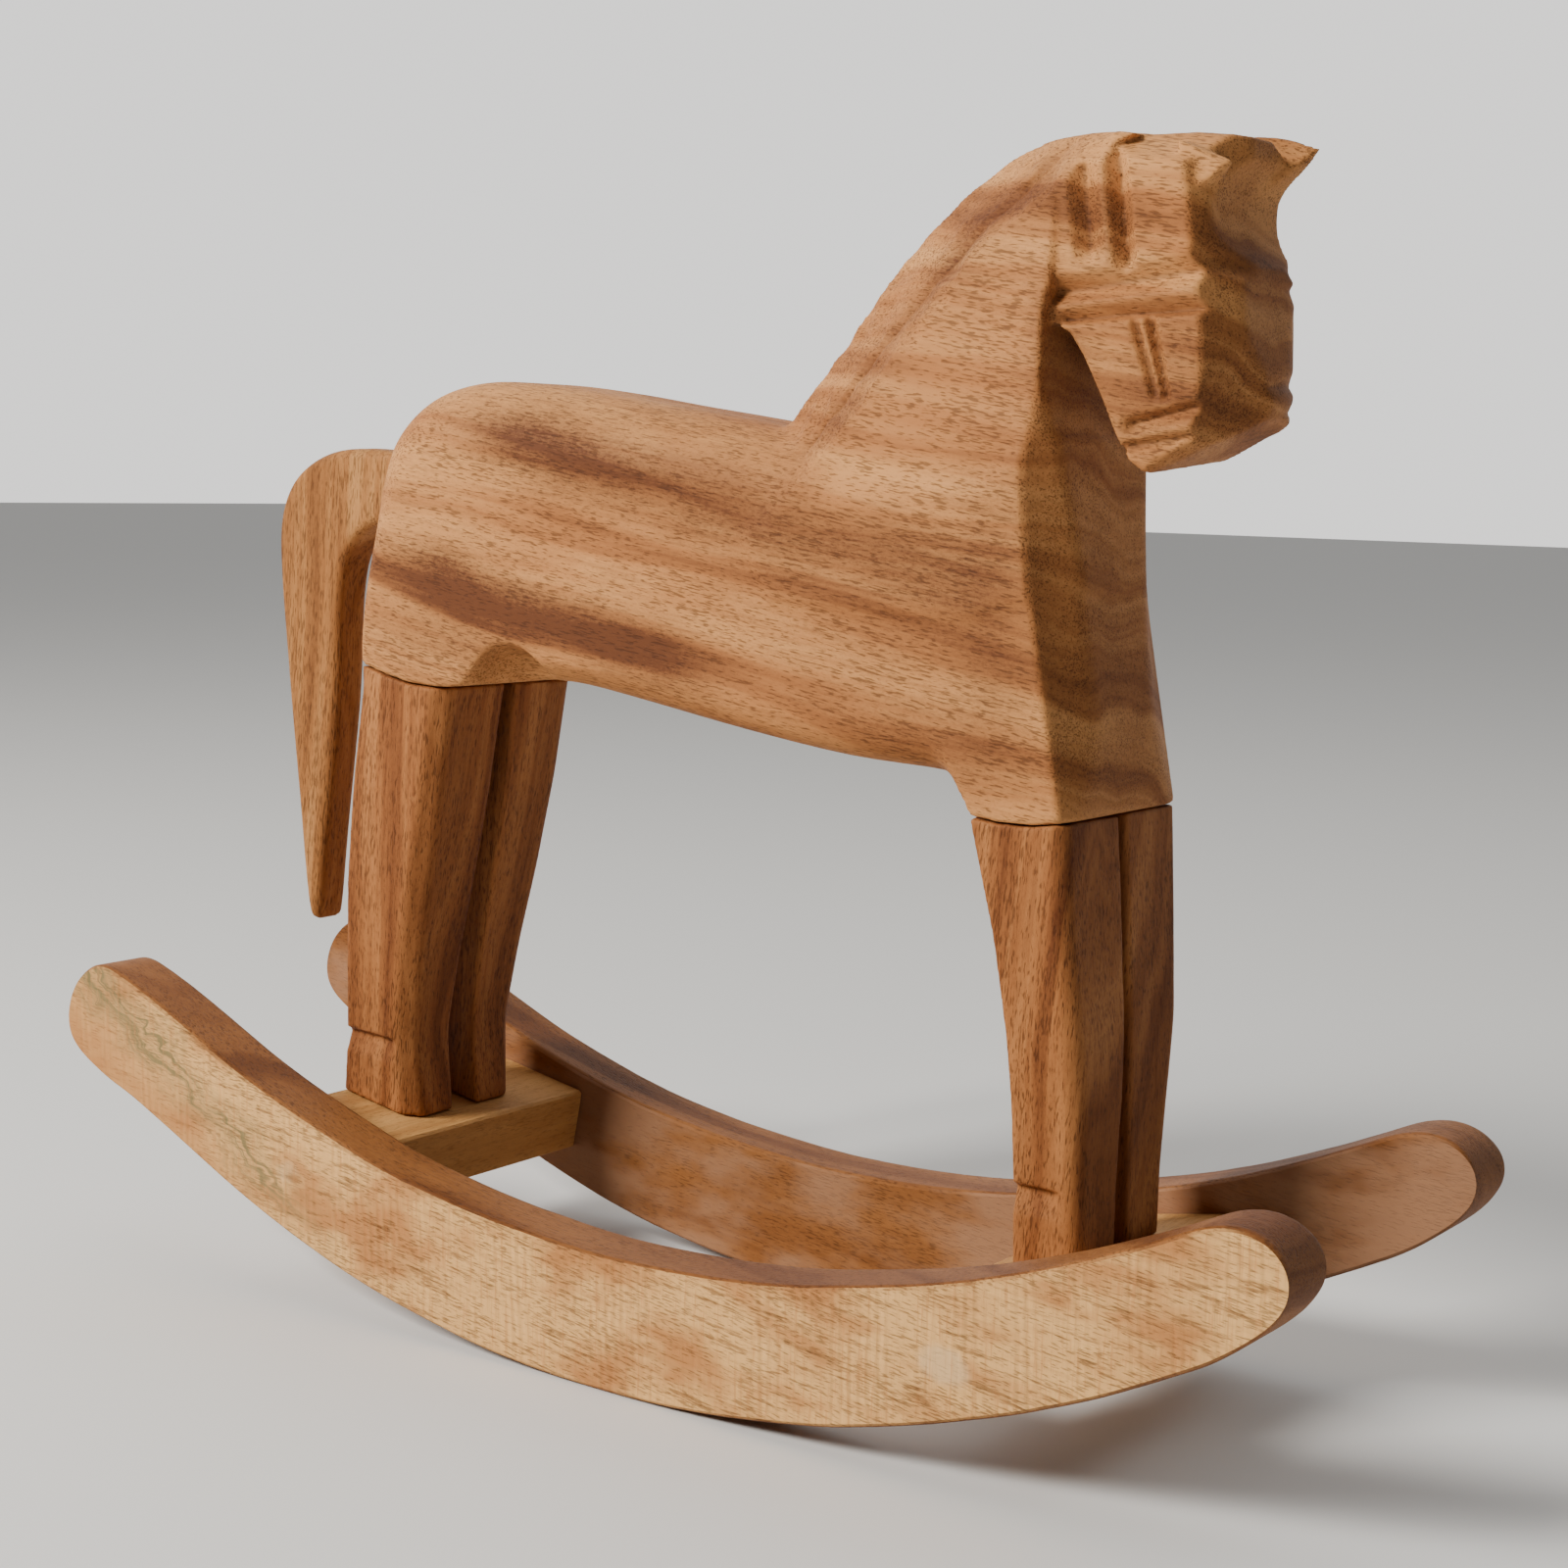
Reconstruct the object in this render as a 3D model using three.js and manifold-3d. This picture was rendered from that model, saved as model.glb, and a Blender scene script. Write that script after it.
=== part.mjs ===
// A carved rocking horse of the dala kind: a plain wooden horse glued up from a body block, four legs
// and a tail, standing on two slats that join a pair of crescent rockers.
// Millimetres, +Z up, the head towards +X, the horse's right side towards -Y. The origin is on the
// floor under the middle of the overall length. The pieces are laid out on the bench first, and then
// the whole horse is rolled on its rockers until its centre of mass is over the point of contact.

import * as THREE from 'three';
import { mergeVertices } from 'three/addons/utils/BufferGeometryUtils.js';
import Module from 'manifold-3d';

const wasm = await Module();
wasm.setup();

// ---------------------------------------------------------------- driving sizes

const GAP = 0.3;              // clearance between pieces that touch or fit into each other

const ROCKER_LENGTH = 250;    // tip to tip
const ROCKER_SPAN = 79;       // over the outer faces of the two rockers
const ROCKER_THICK = 12;
const ROCKER_DEPTH = 22.5;    // underside to top edge, where the rocker touches the floor
const UNDERSIDE_RADIUS = 217;
const TOP_RADIUS = 228;
const CONTACT_X = 11;         // where the underside touches the bench
const TOP_SHIFT = 2.5;        // the top arc's centre lies this far in front of the underside's
const ARC_STEPS = 44;
const TIP_STEPS = 9;

const SLAT_WIDTH = 24;        // along the rocker
const SLAT_THICK = 12;
const SLAT_LEAN = 0.55;       // share of the rocker's slope that a slat follows

const RUMP_X = -67.5;         // rear face of the body
const BODY_LENGTH = 145;      // rump to chest, at the leg joints
const BODY_WIDTH = 37;
const HIND_SEAT = 111;        // height of the glued joint above the hind legs
const FRONT_SEAT = 95.4;      // height of the glued joint above the front legs
const BACK_HEIGHT = 164.4;    // top of the rump
const WITHERS_HEIGHT = 156;   // where the neck rises from the back
const POLL_HEIGHT = 197.5;    // top of the head
const TORSO_ROUND = 7;        // rounding along the torso's edges
const HEAD_WIDTH = 26;
const HEAD_ROUND = 2.5;
const EAR_WIDTH = 8;
const CREST_WIDTH = 6;        // flat left along the top of the mane

const HIND_LEG_DEPTH = 19.7;  // front to back, at the joint
const FRONT_LEG_DEPTH = 16.4;
const FOOT_WIDTH = 11;        // across, where a leg stands on its slat
const FOOT_OUTER = 14;        // centre plane to the outer side of a foot
const LEG_CHAMFER = 3;
const HOOF_HEIGHT = 14;       // hoof notch above the slat
const HOOF_NOTCH = 1.4;       // depth of the notch
const HOOF_NOTCH_WIDTH = 3;
const LEG_EDGE = 1;           // small chamfer on a leg's other edges

const TAIL_THICK = 8;
const TAIL_HEIGHT = 89;       // top of the tail to its tip
const TAIL_REACH = 35;        // how far it stands out behind the rump
const TAIL_ROUND = 0.9;

const LEG_DOWEL_DIAMETER = 6;
const LEG_DOWEL_LENGTH = 24;
const TAIL_DOWEL_DIAMETER = 5;
const TAIL_DOWEL_LENGTH = 20;

const SCREW_SHANK = 3.5;
const SCREW_HEAD = 7;
const SCREW_RIM = 0.4;        // straight edge of the countersunk head
const SCREW_POINT = 3;        // length of the point
const SCREW_TIP = 0.4;        // radius left at its end
const SCREW_SINK = 0.5;       // head below the slat's underside
const SCREW_BITE = 17;        // length of screw inside the foot
const NAIL_SHANK = 2.4;
const NAIL_HEAD = 5;
const NAIL_HEAD_THICK = 1;
const NAIL_POINT = 2.5;
const NAIL_BITE = 14;         // length of nail inside the slat
const FILLER_DEPTH = 2;       // filler that covers a nail head
const OVERRUN = 1;            // how far a cutting tool runs past the face it starts from

const DENSITY = { wood: 0.6e-3, steel: 7.85e-3 };   // grams per cubic millimetre

// ---------------------------------------------------------------- places worked out from them

const CHEST_X = RUMP_X + BODY_LENGTH;
const HALF_BODY = BODY_WIDTH / 2;
const HALF_HEAD = HEAD_WIDTH / 2;
const RIGHT = -1;
const LEFT = 1;

const UNDERSIDE = { x: CONTACT_X, z: UNDERSIDE_RADIUS, r: UNDERSIDE_RADIUS };
const TOP_EDGE = { x: CONTACT_X + TOP_SHIFT, z: ROCKER_DEPTH + TOP_RADIUS, r: TOP_RADIUS };

const heightOn = (arc, x) => arc.z - Math.sqrt(arc.r ** 2 - (x - arc.x) ** 2);

// ---------------------------------------------------------------- finishes

const FINISHES = {
  body: { color: 0xb27a4c, roughness: 0.62 },
  leg: { color: 0xa66a40, roughness: 0.6 },
  tail: { color: 0xa97a4d, roughness: 0.62 },
  rocker: { color: 0xc79e70, roughness: 0.75 },
  slat: { color: 0xb5894f, roughness: 0.7 },
  dowel: { color: 0xd6b98a, roughness: 0.7 },
  steel: { color: 0x9a9a9c, roughness: 0.4, metalness: 1 },
  filler: { color: 0xd9b98c, roughness: 0.85 },
};

// ---------------------------------------------------------------- helpers

function toSolid(geometry) {
  const bare = geometry.clone();
  bare.deleteAttribute('normal');
  bare.deleteAttribute('uv');
  const merged = mergeVertices(bare, 1e-4);
  return new wasm.Manifold(new wasm.Mesh({
    numProp: 3,
    vertProperties: new Float32Array(merged.attributes.position.array),
    triVerts: new Uint32Array(merged.index.array),
  }));
}

function toGeometry(solid) {
  const mesh = solid.getMesh();
  const geometry = new THREE.BufferGeometry();
  const count = mesh.vertProperties.length / mesh.numProp;
  const positions = new Float32Array(count * 3);
  for (let i = 0; i < count; i += 1) {
    for (let k = 0; k < 3; k += 1) {
      positions[3 * i + k] = mesh.vertProperties[mesh.numProp * i + k];
    }
  }
  geometry.setAttribute('position', new THREE.BufferAttribute(positions, 3));
  geometry.setIndex([...mesh.triVerts]);
  geometry.computeVertexNormals();
  return geometry;
}

/** A plate cut to an outline in the XZ plane, its thickness centred on y = 0. */
function plate(outline, width, round = 0, roundSteps = 3) {
  const shape = new THREE.Shape(outline.map(([x, z]) => new THREE.Vector2(x, z)));
  const geometry = new THREE.ExtrudeGeometry(shape, {
    depth: width - 2 * round,
    bevelEnabled: round > 0,
    bevelSize: round,
    bevelThickness: round,
    bevelOffset: -round,
    bevelSegments: roundSteps,
    steps: 1,
  });
  geometry.translate(0, 0, round - width / 2);
  geometry.rotateX(Math.PI / 2);
  return geometry;
}

/** Points along an arc of a circle in the XZ plane, from one angle to another. */
function arcPoints(circle, from, to, steps) {
  return Array.from({ length: steps + 1 }, (_, i) => {
    const angle = from + (to - from) * (i / steps);
    return [circle.x + circle.r * Math.cos(angle), circle.z + circle.r * Math.sin(angle)];
  });
}

/** Takes away everything on the far side of the plane through three points, as seen from `keep`. */
function planeCut(solid, a, b, c, keep) {
  const reach = 400;
  const origin = new THREE.Vector3(...a);
  const along = new THREE.Vector3(...b).sub(origin).normalize();
  const normal = new THREE.Vector3(...c).sub(origin).cross(along).normalize();
  if (new THREE.Vector3(...keep).sub(origin).dot(normal) > 0) normal.negate();
  const across = new THREE.Vector3().crossVectors(along, normal);
  const block = new THREE.BoxGeometry(reach, reach, reach);
  block.translate(0, reach / 2, 0);
  block.applyMatrix4(new THREE.Matrix4().makeBasis(along, normal, across));
  block.translate(origin.x, origin.y, origin.z);
  return solid.subtract(toSolid(block));
}

/** A V-shaped knife cut on one side of the head, from one [x, z] point to another. */
function knifeCut(from, to, width, depth, side, surface) {
  const spread = (width / 2) * (1 + OVERRUN / depth);
  const section = new THREE.Shape([
    new THREE.Vector2(0, -depth),
    new THREE.Vector2(spread, OVERRUN),
    new THREE.Vector2(-spread, OVERRUN),
  ]);
  const run = new THREE.Vector3(to[0] - from[0], 0, to[1] - from[1]);
  const cut = new THREE.ExtrudeGeometry(section, { depth: run.length(), bevelEnabled: false });
  const along = run.clone().normalize();
  const outward = new THREE.Vector3(0, side, 0);
  const across = new THREE.Vector3().crossVectors(outward, along);
  cut.applyMatrix4(new THREE.Matrix4().makeBasis(across, outward, along));
  cut.translate(from[0], side * surface, from[1]);
  return toSolid(cut);
}

/** A round bar between two points. */
function bar(from, to, radius, sides = 16) {
  const start = new THREE.Vector3(...from);
  const run = new THREE.Vector3(...to).sub(start);
  const geometry = new THREE.CylinderGeometry(radius, radius, run.length(), sides);
  geometry.translate(0, run.length() / 2, 0);
  const turn = new THREE.Quaternion().setFromUnitVectors(new THREE.Vector3(0, 1, 0), run.normalize());
  geometry.applyQuaternion(turn);
  geometry.translate(start.x, start.y, start.z);
  return geometry;
}

function piece(name, geometry, finish) {
  const material = new THREE.MeshStandardMaterial({ metalness: 0, ...FINISHES[finish] });
  const mesh = new THREE.Mesh(geometry, material);
  mesh.name = name;
  return mesh;
}

const sideName = (side) => (side === RIGHT ? 'right' : 'left');

// ---------------------------------------------------------------- slats: where the feet stand

function slatAt(x) {
  const slope = Math.asin((x - UNDERSIDE.x) / UNDERSIDE.r);
  const lean = SLAT_LEAN * slope;
  const z = (heightOn(UNDERSIDE, x) + heightOn(TOP_EDGE, x)) / 2;
  const rise = SLAT_THICK / 2 / Math.cos(lean);
  return {
    x,
    z,
    lean,
    up: [-Math.sin(lean), 0, Math.cos(lean)],
    topAt: (at) => z + rise + (at - x) * Math.tan(lean),
  };
}

const REAR_SLAT = slatAt(RUMP_X - 0.5);
const FRONT_SLAT = slatAt(CHEST_X - 4.5);

// ---------------------------------------------------------------- legs

// Each station is [share of the height below the joint, rear, front, outer side, inner side], with rear
// and front measured from the leg's upper rear corner, and the sides from the centre plane.
const HIND_LEG = {
  name: 'hind_leg',
  x: RUMP_X + GAP,
  seat: HIND_SEAT,
  slat: REAR_SLAT,
  hoof: HOOF_HEIGHT + 1.5,
  stations: [
    [0, 0, HIND_LEG_DEPTH, HALF_BODY, 1.5],
    [0.22, -2.7, HIND_LEG_DEPTH - 3, HALF_BODY - 0.3, 2.4],
    [0.45, -4.9, HIND_LEG_DEPTH - 7.3, HALF_BODY - 1, 2.6],
    [0.62, -6.3, HIND_LEG_DEPTH - 10.6, HALF_BODY - 2.4, 2.8],
    [0.8, -8.6, HIND_LEG_DEPTH - 13.2, FOOT_OUTER + 1, FOOT_OUTER - FOOT_WIDTH],
    [1, -10.6, HIND_LEG_DEPTH - 12.6, FOOT_OUTER, FOOT_OUTER - FOOT_WIDTH],
  ],
};

const FRONT_LEG = {
  name: 'front_leg',
  x: CHEST_X - FRONT_LEG_DEPTH,
  seat: FRONT_SEAT,
  slat: FRONT_SLAT,
  hoof: HOOF_HEIGHT - 1,
  stations: [
    [0, 0, FRONT_LEG_DEPTH, HALF_BODY, 1],
    [0.26, 4, FRONT_LEG_DEPTH + 0.7, HALF_BODY - 0.2, 1],
    [0.48, 5.9, FRONT_LEG_DEPTH + 1.7, HALF_BODY - 1.5, 1],
    [0.64, 6.2, FRONT_LEG_DEPTH + 1.6, HALF_BODY - 3, 1.2],
    [0.82, 5.9, FRONT_LEG_DEPTH + 1.2, FOOT_OUTER, 1.8],
    [1, 5.4, FRONT_LEG_DEPTH + 1, FOOT_OUTER - 0.5, FOOT_OUTER - FOOT_WIDTH],
  ],
};

/** The corners of a leg at one station, anticlockwise from above on the left side. */
function legSection(leg, side, [share, rear, front, outer, inner]) {
  const corners = [
    [rear + LEG_EDGE, outer],
    [rear, outer - LEG_EDGE],
    [rear, inner + LEG_EDGE],
    [rear + LEG_EDGE, inner],
    [front - LEG_EDGE, inner],
    [front, inner + LEG_EDGE],
    [front, outer - LEG_CHAMFER],
    [front - LEG_CHAMFER, outer],
  ];
  const top = leg.seat - GAP;
  return corners.map(([dx, y]) => {
    const x = leg.x + dx;
    const foot = leg.slat.topAt(x) + GAP;
    return [x, side * y, top - share * (top - foot)];
  });
}

function legBlank(leg, side) {
  const rings = leg.stations.map((station) => legSection(leg, side, station));
  const count = rings[0].length;
  const positions = rings.flat(2);
  const index = [];
  for (let level = 0; level + 1 < rings.length; level += 1) {
    for (let k = 0; k < count; k += 1) {
      const a = level * count + k;
      const b = level * count + ((k + 1) % count);
      index.push(a, a + count, b + count, a, b + count, b);
    }
  }
  const last = (rings.length - 1) * count;
  for (let k = 1; k + 1 < count; k += 1) {
    index.push(0, k, k + 1);
    index.push(last, last + k + 1, last + k);
  }
  if (side === RIGHT) {
    for (let i = 0; i < index.length; i += 3) [index[i], index[i + 1]] = [index[i + 1], index[i]];
  }
  const geometry = new THREE.BufferGeometry();
  geometry.setAttribute('position', new THREE.BufferAttribute(new Float32Array(positions), 3));
  geometry.setIndex(index);
  return geometry;
}

/** The leg's own centre lines: of the dowel in its top and of the screw in its foot. */
function legCentres(leg, side) {
  const [, , topFront, topOuter, topInner] = leg.stations[0];
  const [, rear, front, outer, inner] = leg.stations[leg.stations.length - 1];
  const footX = leg.x + (rear + front) / 2;
  return {
    dowel: [leg.x + topFront / 2, (side * (topOuter + topInner)) / 2, leg.seat],
    foot: [footX, (side * (outer + inner)) / 2, leg.slat.topAt(footX)],
  };
}

const offset = (point, direction, distance) => point.map((v, k) => v + direction[k] * distance);

function dowelEnds(leg, side, extra = 0) {
  const { dowel } = legCentres(leg, side);
  const half = LEG_DOWEL_LENGTH / 2 + extra;
  return [offset(dowel, [0, 0, 1], -half), offset(dowel, [0, 0, 1], half)];
}

function legPiece(leg, side) {
  let solid = toSolid(legBlank(leg, side));
  const { foot } = legCentres(leg, side);
  const notchZ = foot[2] + leg.hoof;
  const [, , , outer] = leg.stations[leg.stations.length - 2];
  const reach = leg.stations[0][2];
  solid = solid.subtract(knifeCut(
    [leg.x - reach, notchZ + reach * 0.05],
    [leg.x + reach * 0.8, notchZ - reach * 0.02],
    HOOF_NOTCH_WIDTH,
    HOOF_NOTCH,
    side,
    outer + GAP,
  ));
  solid = solid.subtract(toSolid(bar(...dowelEnds(leg, side, GAP), LEG_DOWEL_DIAMETER / 2 + GAP)));
  const screwEnd = offset(foot, leg.slat.up, SCREW_BITE + GAP);
  const below = offset(foot, leg.slat.up, -SLAT_THICK);
  solid = solid.subtract(toSolid(bar(below, screwEnd, SCREW_SHANK / 2 + GAP, 12)));
  return piece(`${leg.name}_${sideName(side)}`, toGeometry(solid), 'leg');
}

function legDowel(leg, side) {
  const geometry = new THREE.CylinderGeometry(
    LEG_DOWEL_DIAMETER / 2, LEG_DOWEL_DIAMETER / 2, LEG_DOWEL_LENGTH, 16);
  const mesh = piece(`dowel_${leg.name}_${sideName(side)}`, geometry, 'dowel');
  mesh.rotation.x = Math.PI / 2;
  mesh.position.set(...legCentres(leg, side).dowel);
  return mesh;
}

// ---------------------------------------------------------------- body

/** Outline of the barrel, seen from the side: rump, back, chest, belly. */
function torsoOutline() {
  const back = BACK_HEIGHT;
  return [
    [RUMP_X, HIND_SEAT],
    [HIND_LEG.x + HIND_LEG_DEPTH, HIND_SEAT],
    [RUMP_X + 25, HIND_SEAT + 2],
    [RUMP_X + 32, HIND_SEAT + 4],
    [RUMP_X + 47, HIND_SEAT + 1.5],
    [CHEST_X - 57, FRONT_SEAT + 10.4],
    [CHEST_X - 37, FRONT_SEAT + 7.6],
    [CHEST_X - 21, FRONT_SEAT + 6],
    [CHEST_X - 16.4, FRONT_SEAT],
    [CHEST_X, FRONT_SEAT],
    [CHEST_X + 1.2, FRONT_SEAT + 10],
    [CHEST_X + 0.2, FRONT_SEAT + 26],
    [CHEST_X - 2, FRONT_SEAT + 42],
    [CHEST_X - 30, WITHERS_HEIGHT - 3],
    [CHEST_X - 60, WITHERS_HEIGHT],
    [RUMP_X + 60, back - 3.8],
    [RUMP_X + 38, back - 0.2],
    [RUMP_X + 28, back],
    [RUMP_X + 18, back - 1.6],
    [RUMP_X + 9, back - 6],
    [RUMP_X + 2.5, back - 12],
    [RUMP_X, back - 19],
  ].reverse();
}

/** The flat-sided quarters above the legs, level with the legs' outer sides. */
function haunchOutline() {
  return [
    [HIND_LEG.x, HIND_SEAT],
    [HIND_LEG.x + HIND_LEG_DEPTH, HIND_SEAT],
    [RUMP_X + 26, HIND_SEAT + 8],
    [RUMP_X + 30, HIND_SEAT + 24],
    [RUMP_X + 8, HIND_SEAT + 30],
    [RUMP_X + 2, HIND_SEAT + 22],
  ].reverse();
}

function shoulderOutline() {
  return [
    [CHEST_X - FRONT_LEG_DEPTH, FRONT_SEAT],
    [CHEST_X, FRONT_SEAT],
    [CHEST_X + 0.6, FRONT_SEAT + 12],
    [CHEST_X - 2.5, FRONT_SEAT + 45],
    [CHEST_X - 4, FRONT_SEAT + 66],
    [CHEST_X - 45, WITHERS_HEIGHT - 10],
    [CHEST_X - 34, FRONT_SEAT + 20],
  ].reverse();
}

function neckOutline() {
  return [
    [CHEST_X - 60, WITHERS_HEIGHT - 1],
    [CHEST_X - 50, WITHERS_HEIGHT - 12],
    [CHEST_X - 20, WITHERS_HEIGHT - 24],
    [CHEST_X - 2.2, WITHERS_HEIGHT - 18],
    [CHEST_X - 3.1, WITHERS_HEIGHT - 8],
    [CHEST_X - 4, WITHERS_HEIGHT + 4],
    [CHEST_X - 5, POLL_HEIGHT - 27.8],
    [CHEST_X + 3, POLL_HEIGHT - 22],
    [CHEST_X + 6, POLL_HEIGHT - 4],
    [CHEST_X - 5, POLL_HEIGHT - 0.2],
    [CHEST_X - 12, POLL_HEIGHT - 0.4],
    [CHEST_X - 19, POLL_HEIGHT - 1.5],
    [CHEST_X - 26, POLL_HEIGHT - 4.7],
    [CHEST_X - 35, POLL_HEIGHT - 11.6],
    [CHEST_X - 42, POLL_HEIGHT - 18.2],
    [CHEST_X - 51.5, WITHERS_HEIGHT + 10],
  ];
}

function headOutline() {
  return [
    [CHEST_X - 5.2, POLL_HEIGHT - 27.8],
    [CHEST_X - 0.5, POLL_HEIGHT - 33.3],
    [CHEST_X + 3.7, POLL_HEIGHT - 39.8],
    [CHEST_X + 7, POLL_HEIGHT - 46],
    [CHEST_X + 9.2, POLL_HEIGHT - 49.5],
    [CHEST_X + 13.5, POLL_HEIGHT - 50.3],
    [CHEST_X + 18.5, POLL_HEIGHT - 48.6],
    [CHEST_X + 23, POLL_HEIGHT - 45],
    [CHEST_X + 23.5, POLL_HEIGHT - 41.5],
    [CHEST_X + 22.5, POLL_HEIGHT - 33.5],
    [CHEST_X + 21, POLL_HEIGHT - 23.5],
    [CHEST_X + 19.2, POLL_HEIGHT - 20],
    [CHEST_X + 19.6, POLL_HEIGHT - 18],
    [CHEST_X + 18.2, POLL_HEIGHT - 15],
    [CHEST_X + 18, POLL_HEIGHT - 8.5],
    [CHEST_X + 18.5, POLL_HEIGHT - 1.5],
    [CHEST_X + 2, POLL_HEIGHT],
    [CHEST_X - 10, POLL_HEIGHT],
    [CHEST_X - 14, POLL_HEIGHT - 8],
  ];
}

/** An ear: a short horn that points forward from an upper corner of the forehead. */
function earOutline() {
  return [
    [CHEST_X + 10, POLL_HEIGHT - 7],
    [CHEST_X + 18, POLL_HEIGHT - 8.5],
    [CHEST_X + 23.8, POLL_HEIGHT - 3],
    [CHEST_X + 22, POLL_HEIGHT - 1.6],
    [CHEST_X + 10, POLL_HEIGHT - 1],
  ];
}

/** The knife cuts on each cheek: [from, to, width, depth], measured from the chest and the poll. */
const CHEEK_CUTS = [
  [[-6, -22.6], [19, -19.5], 3.2, 1.6],
  [[-4.5, -28.4], [20, -25.3], 3.2, 1.6],
  [[-2.9, -5], [-0.6, -16.5], 3, 1.4],
  [[2.8, -4], [4.4, -17.5], 3, 1.4],
  [[8.6, -29], [12.6, -39], 1.8, 1],
  [[11.4, -29], [14, -39], 1.8, 1],
  [[5, -42.4], [24, -40], 2.4, 1.1],
  [[6, -46], [25, -43.4], 2.2, 1],
];

function neckSolid() {
  let neck = toSolid(plate(neckOutline(), BODY_WIDTH));
  const inside = [CHEST_X - 20, 0, WITHERS_HEIGHT];
  for (const side of [RIGHT, LEFT]) {
    const wide = side * HALF_BODY;
    const crest = (side * CREST_WIDTH) / 2;
    neck = planeCut(
      neck,
      [CHEST_X - 20, wide, WITHERS_HEIGHT - 8],
      [CHEST_X, wide, WITHERS_HEIGHT - 8],
      [CHEST_X - 10, side * HALF_HEAD, POLL_HEIGHT - 13],
      inside,
    );
    neck = planeCut(
      neck,
      [CHEST_X - 44, side * (HALF_BODY - 1), WITHERS_HEIGHT - 5.5],
      [CHEST_X - 23.5, side * (HALF_BODY - 3.6), POLL_HEIGHT - 23],
      [CHEST_X - 42, crest, POLL_HEIGHT - 18.2],
      inside,
    );
    neck = planeCut(
      neck,
      [CHEST_X - 15, side * (HALF_HEAD + 0.8), POLL_HEIGHT - 13.5],
      [CHEST_X + 2, side * (HALF_HEAD + 0.2), POLL_HEIGHT - 5],
      [CHEST_X - 19, crest, POLL_HEIGHT - 1.5],
      inside,
    );
  }
  return neck;
}

function headSolid() {
  let head = toSolid(plate(headOutline(), HEAD_WIDTH, HEAD_ROUND, 2));
  for (const side of [RIGHT, LEFT]) {
    const ear = plate(earOutline(), EAR_WIDTH);
    ear.translate(0, side * (HALF_HEAD - EAR_WIDTH / 2 - 0.6), 0);
    head = head.add(toSolid(ear));
  }
  for (const [from, to, width, depth] of CHEEK_CUTS) {
    const start = [CHEST_X + from[0], POLL_HEIGHT + from[1]];
    const end = [CHEST_X + to[0], POLL_HEIGHT + to[1]];
    for (const side of [RIGHT, LEFT]) {
      head = head.subtract(knifeCut(start, end, width, depth, side, HALF_HEAD));
    }
  }
  return head;
}

function bodyPiece() {
  let trunk = toSolid(plate(torsoOutline(), BODY_WIDTH, TORSO_ROUND, 3));
  trunk = trunk.add(toSolid(plate(haunchOutline(), BODY_WIDTH)));
  trunk = trunk.add(toSolid(plate(shoulderOutline(), BODY_WIDTH)));
  trunk = trunk.add(neckSolid());
  const inside = [RUMP_X + BODY_LENGTH / 2, 0, FRONT_SEAT + 30];
  for (const side of [RIGHT, LEFT]) {
    const wide = side * HALF_BODY;
    const front = side * (HALF_BODY - 8);
    trunk = planeCut(
      trunk,
      [CHEST_X - 7.7, wide, FRONT_SEAT + 37],
      [CHEST_X - 7.7, wide, FRONT_SEAT + 70],
      [CHEST_X - 2, front, FRONT_SEAT + 40],
      inside,
    );
    trunk = planeCut(
      trunk,
      [CHEST_X, wide, FRONT_SEAT],
      [CHEST_X - 7.7, wide, FRONT_SEAT + 37],
      [CHEST_X + 0.4, front, FRONT_SEAT + 26],
      inside,
    );
  }
  trunk = trunk.add(headSolid());
  for (const leg of [HIND_LEG, FRONT_LEG]) {
    for (const side of [RIGHT, LEFT]) {
      trunk = trunk.subtract(toSolid(bar(...dowelEnds(leg, side, GAP), LEG_DOWEL_DIAMETER / 2 + GAP)));
    }
  }
  trunk = trunk.subtract(toSolid(bar(...tailDowelEnds(GAP), TAIL_DOWEL_DIAMETER / 2 + GAP)));
  return piece('body', toGeometry(trunk), 'body');
}

// ---------------------------------------------------------------- tail

const TAIL_TOP = BACK_HEIGHT - 11.2;
const TAIL_JOINT = TAIL_TOP - 8;

function tailOutline() {
  const root = RUMP_X - GAP;
  const end = RUMP_X - TAIL_REACH;
  const tip = TAIL_TOP - TAIL_HEIGHT;
  return [
    [root, TAIL_TOP - 1.5],
    [root, TAIL_JOINT - 5.5],
    [root - 6, TAIL_JOINT - 6],
    [root - 12.5, TAIL_JOINT - 8.6],
    [root - 16.5, TAIL_JOINT - 14.5],
    [root - 18.5, TAIL_JOINT - 36],
    [root - 23.2, TAIL_JOINT - 64],
    [end + 8, tip + 0.6],
    [end + 6.8, tip],
    [end + 5.8, tip + 1],
    [end + 3.3, tip + 25],
    [end + 1.2, tip + 55],
    [end, tip + 73],
    [end + 0.7, tip + 79],
    [end + 3.6, tip + 83.5],
    [end + 9, tip + 87.2],
    [end + 15.6, tip + 89],
    [end + 25, tip + 88.6],
  ].reverse();
}

function tailDowelEnds(extra = 0) {
  const half = TAIL_DOWEL_LENGTH / 2 + extra;
  return [[RUMP_X - half, 0, TAIL_JOINT], [RUMP_X + half, 0, TAIL_JOINT]];
}

function tailPiece() {
  const blank = toSolid(plate(tailOutline(), TAIL_THICK, TAIL_ROUND, 1));
  const bore = toSolid(bar(...tailDowelEnds(GAP), TAIL_DOWEL_DIAMETER / 2 + GAP));
  return piece('tail', toGeometry(blank.subtract(bore)), 'tail');
}

function tailDowel() {
  const radius = TAIL_DOWEL_DIAMETER / 2;
  const geometry = new THREE.CylinderGeometry(radius, radius, TAIL_DOWEL_LENGTH, 16);
  const mesh = piece('dowel_tail', geometry, 'dowel');
  mesh.rotation.z = Math.PI / 2;
  mesh.position.set(RUMP_X, 0, TAIL_JOINT);
  return mesh;
}

// ---------------------------------------------------------------- rockers, slats and their fixings

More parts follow.
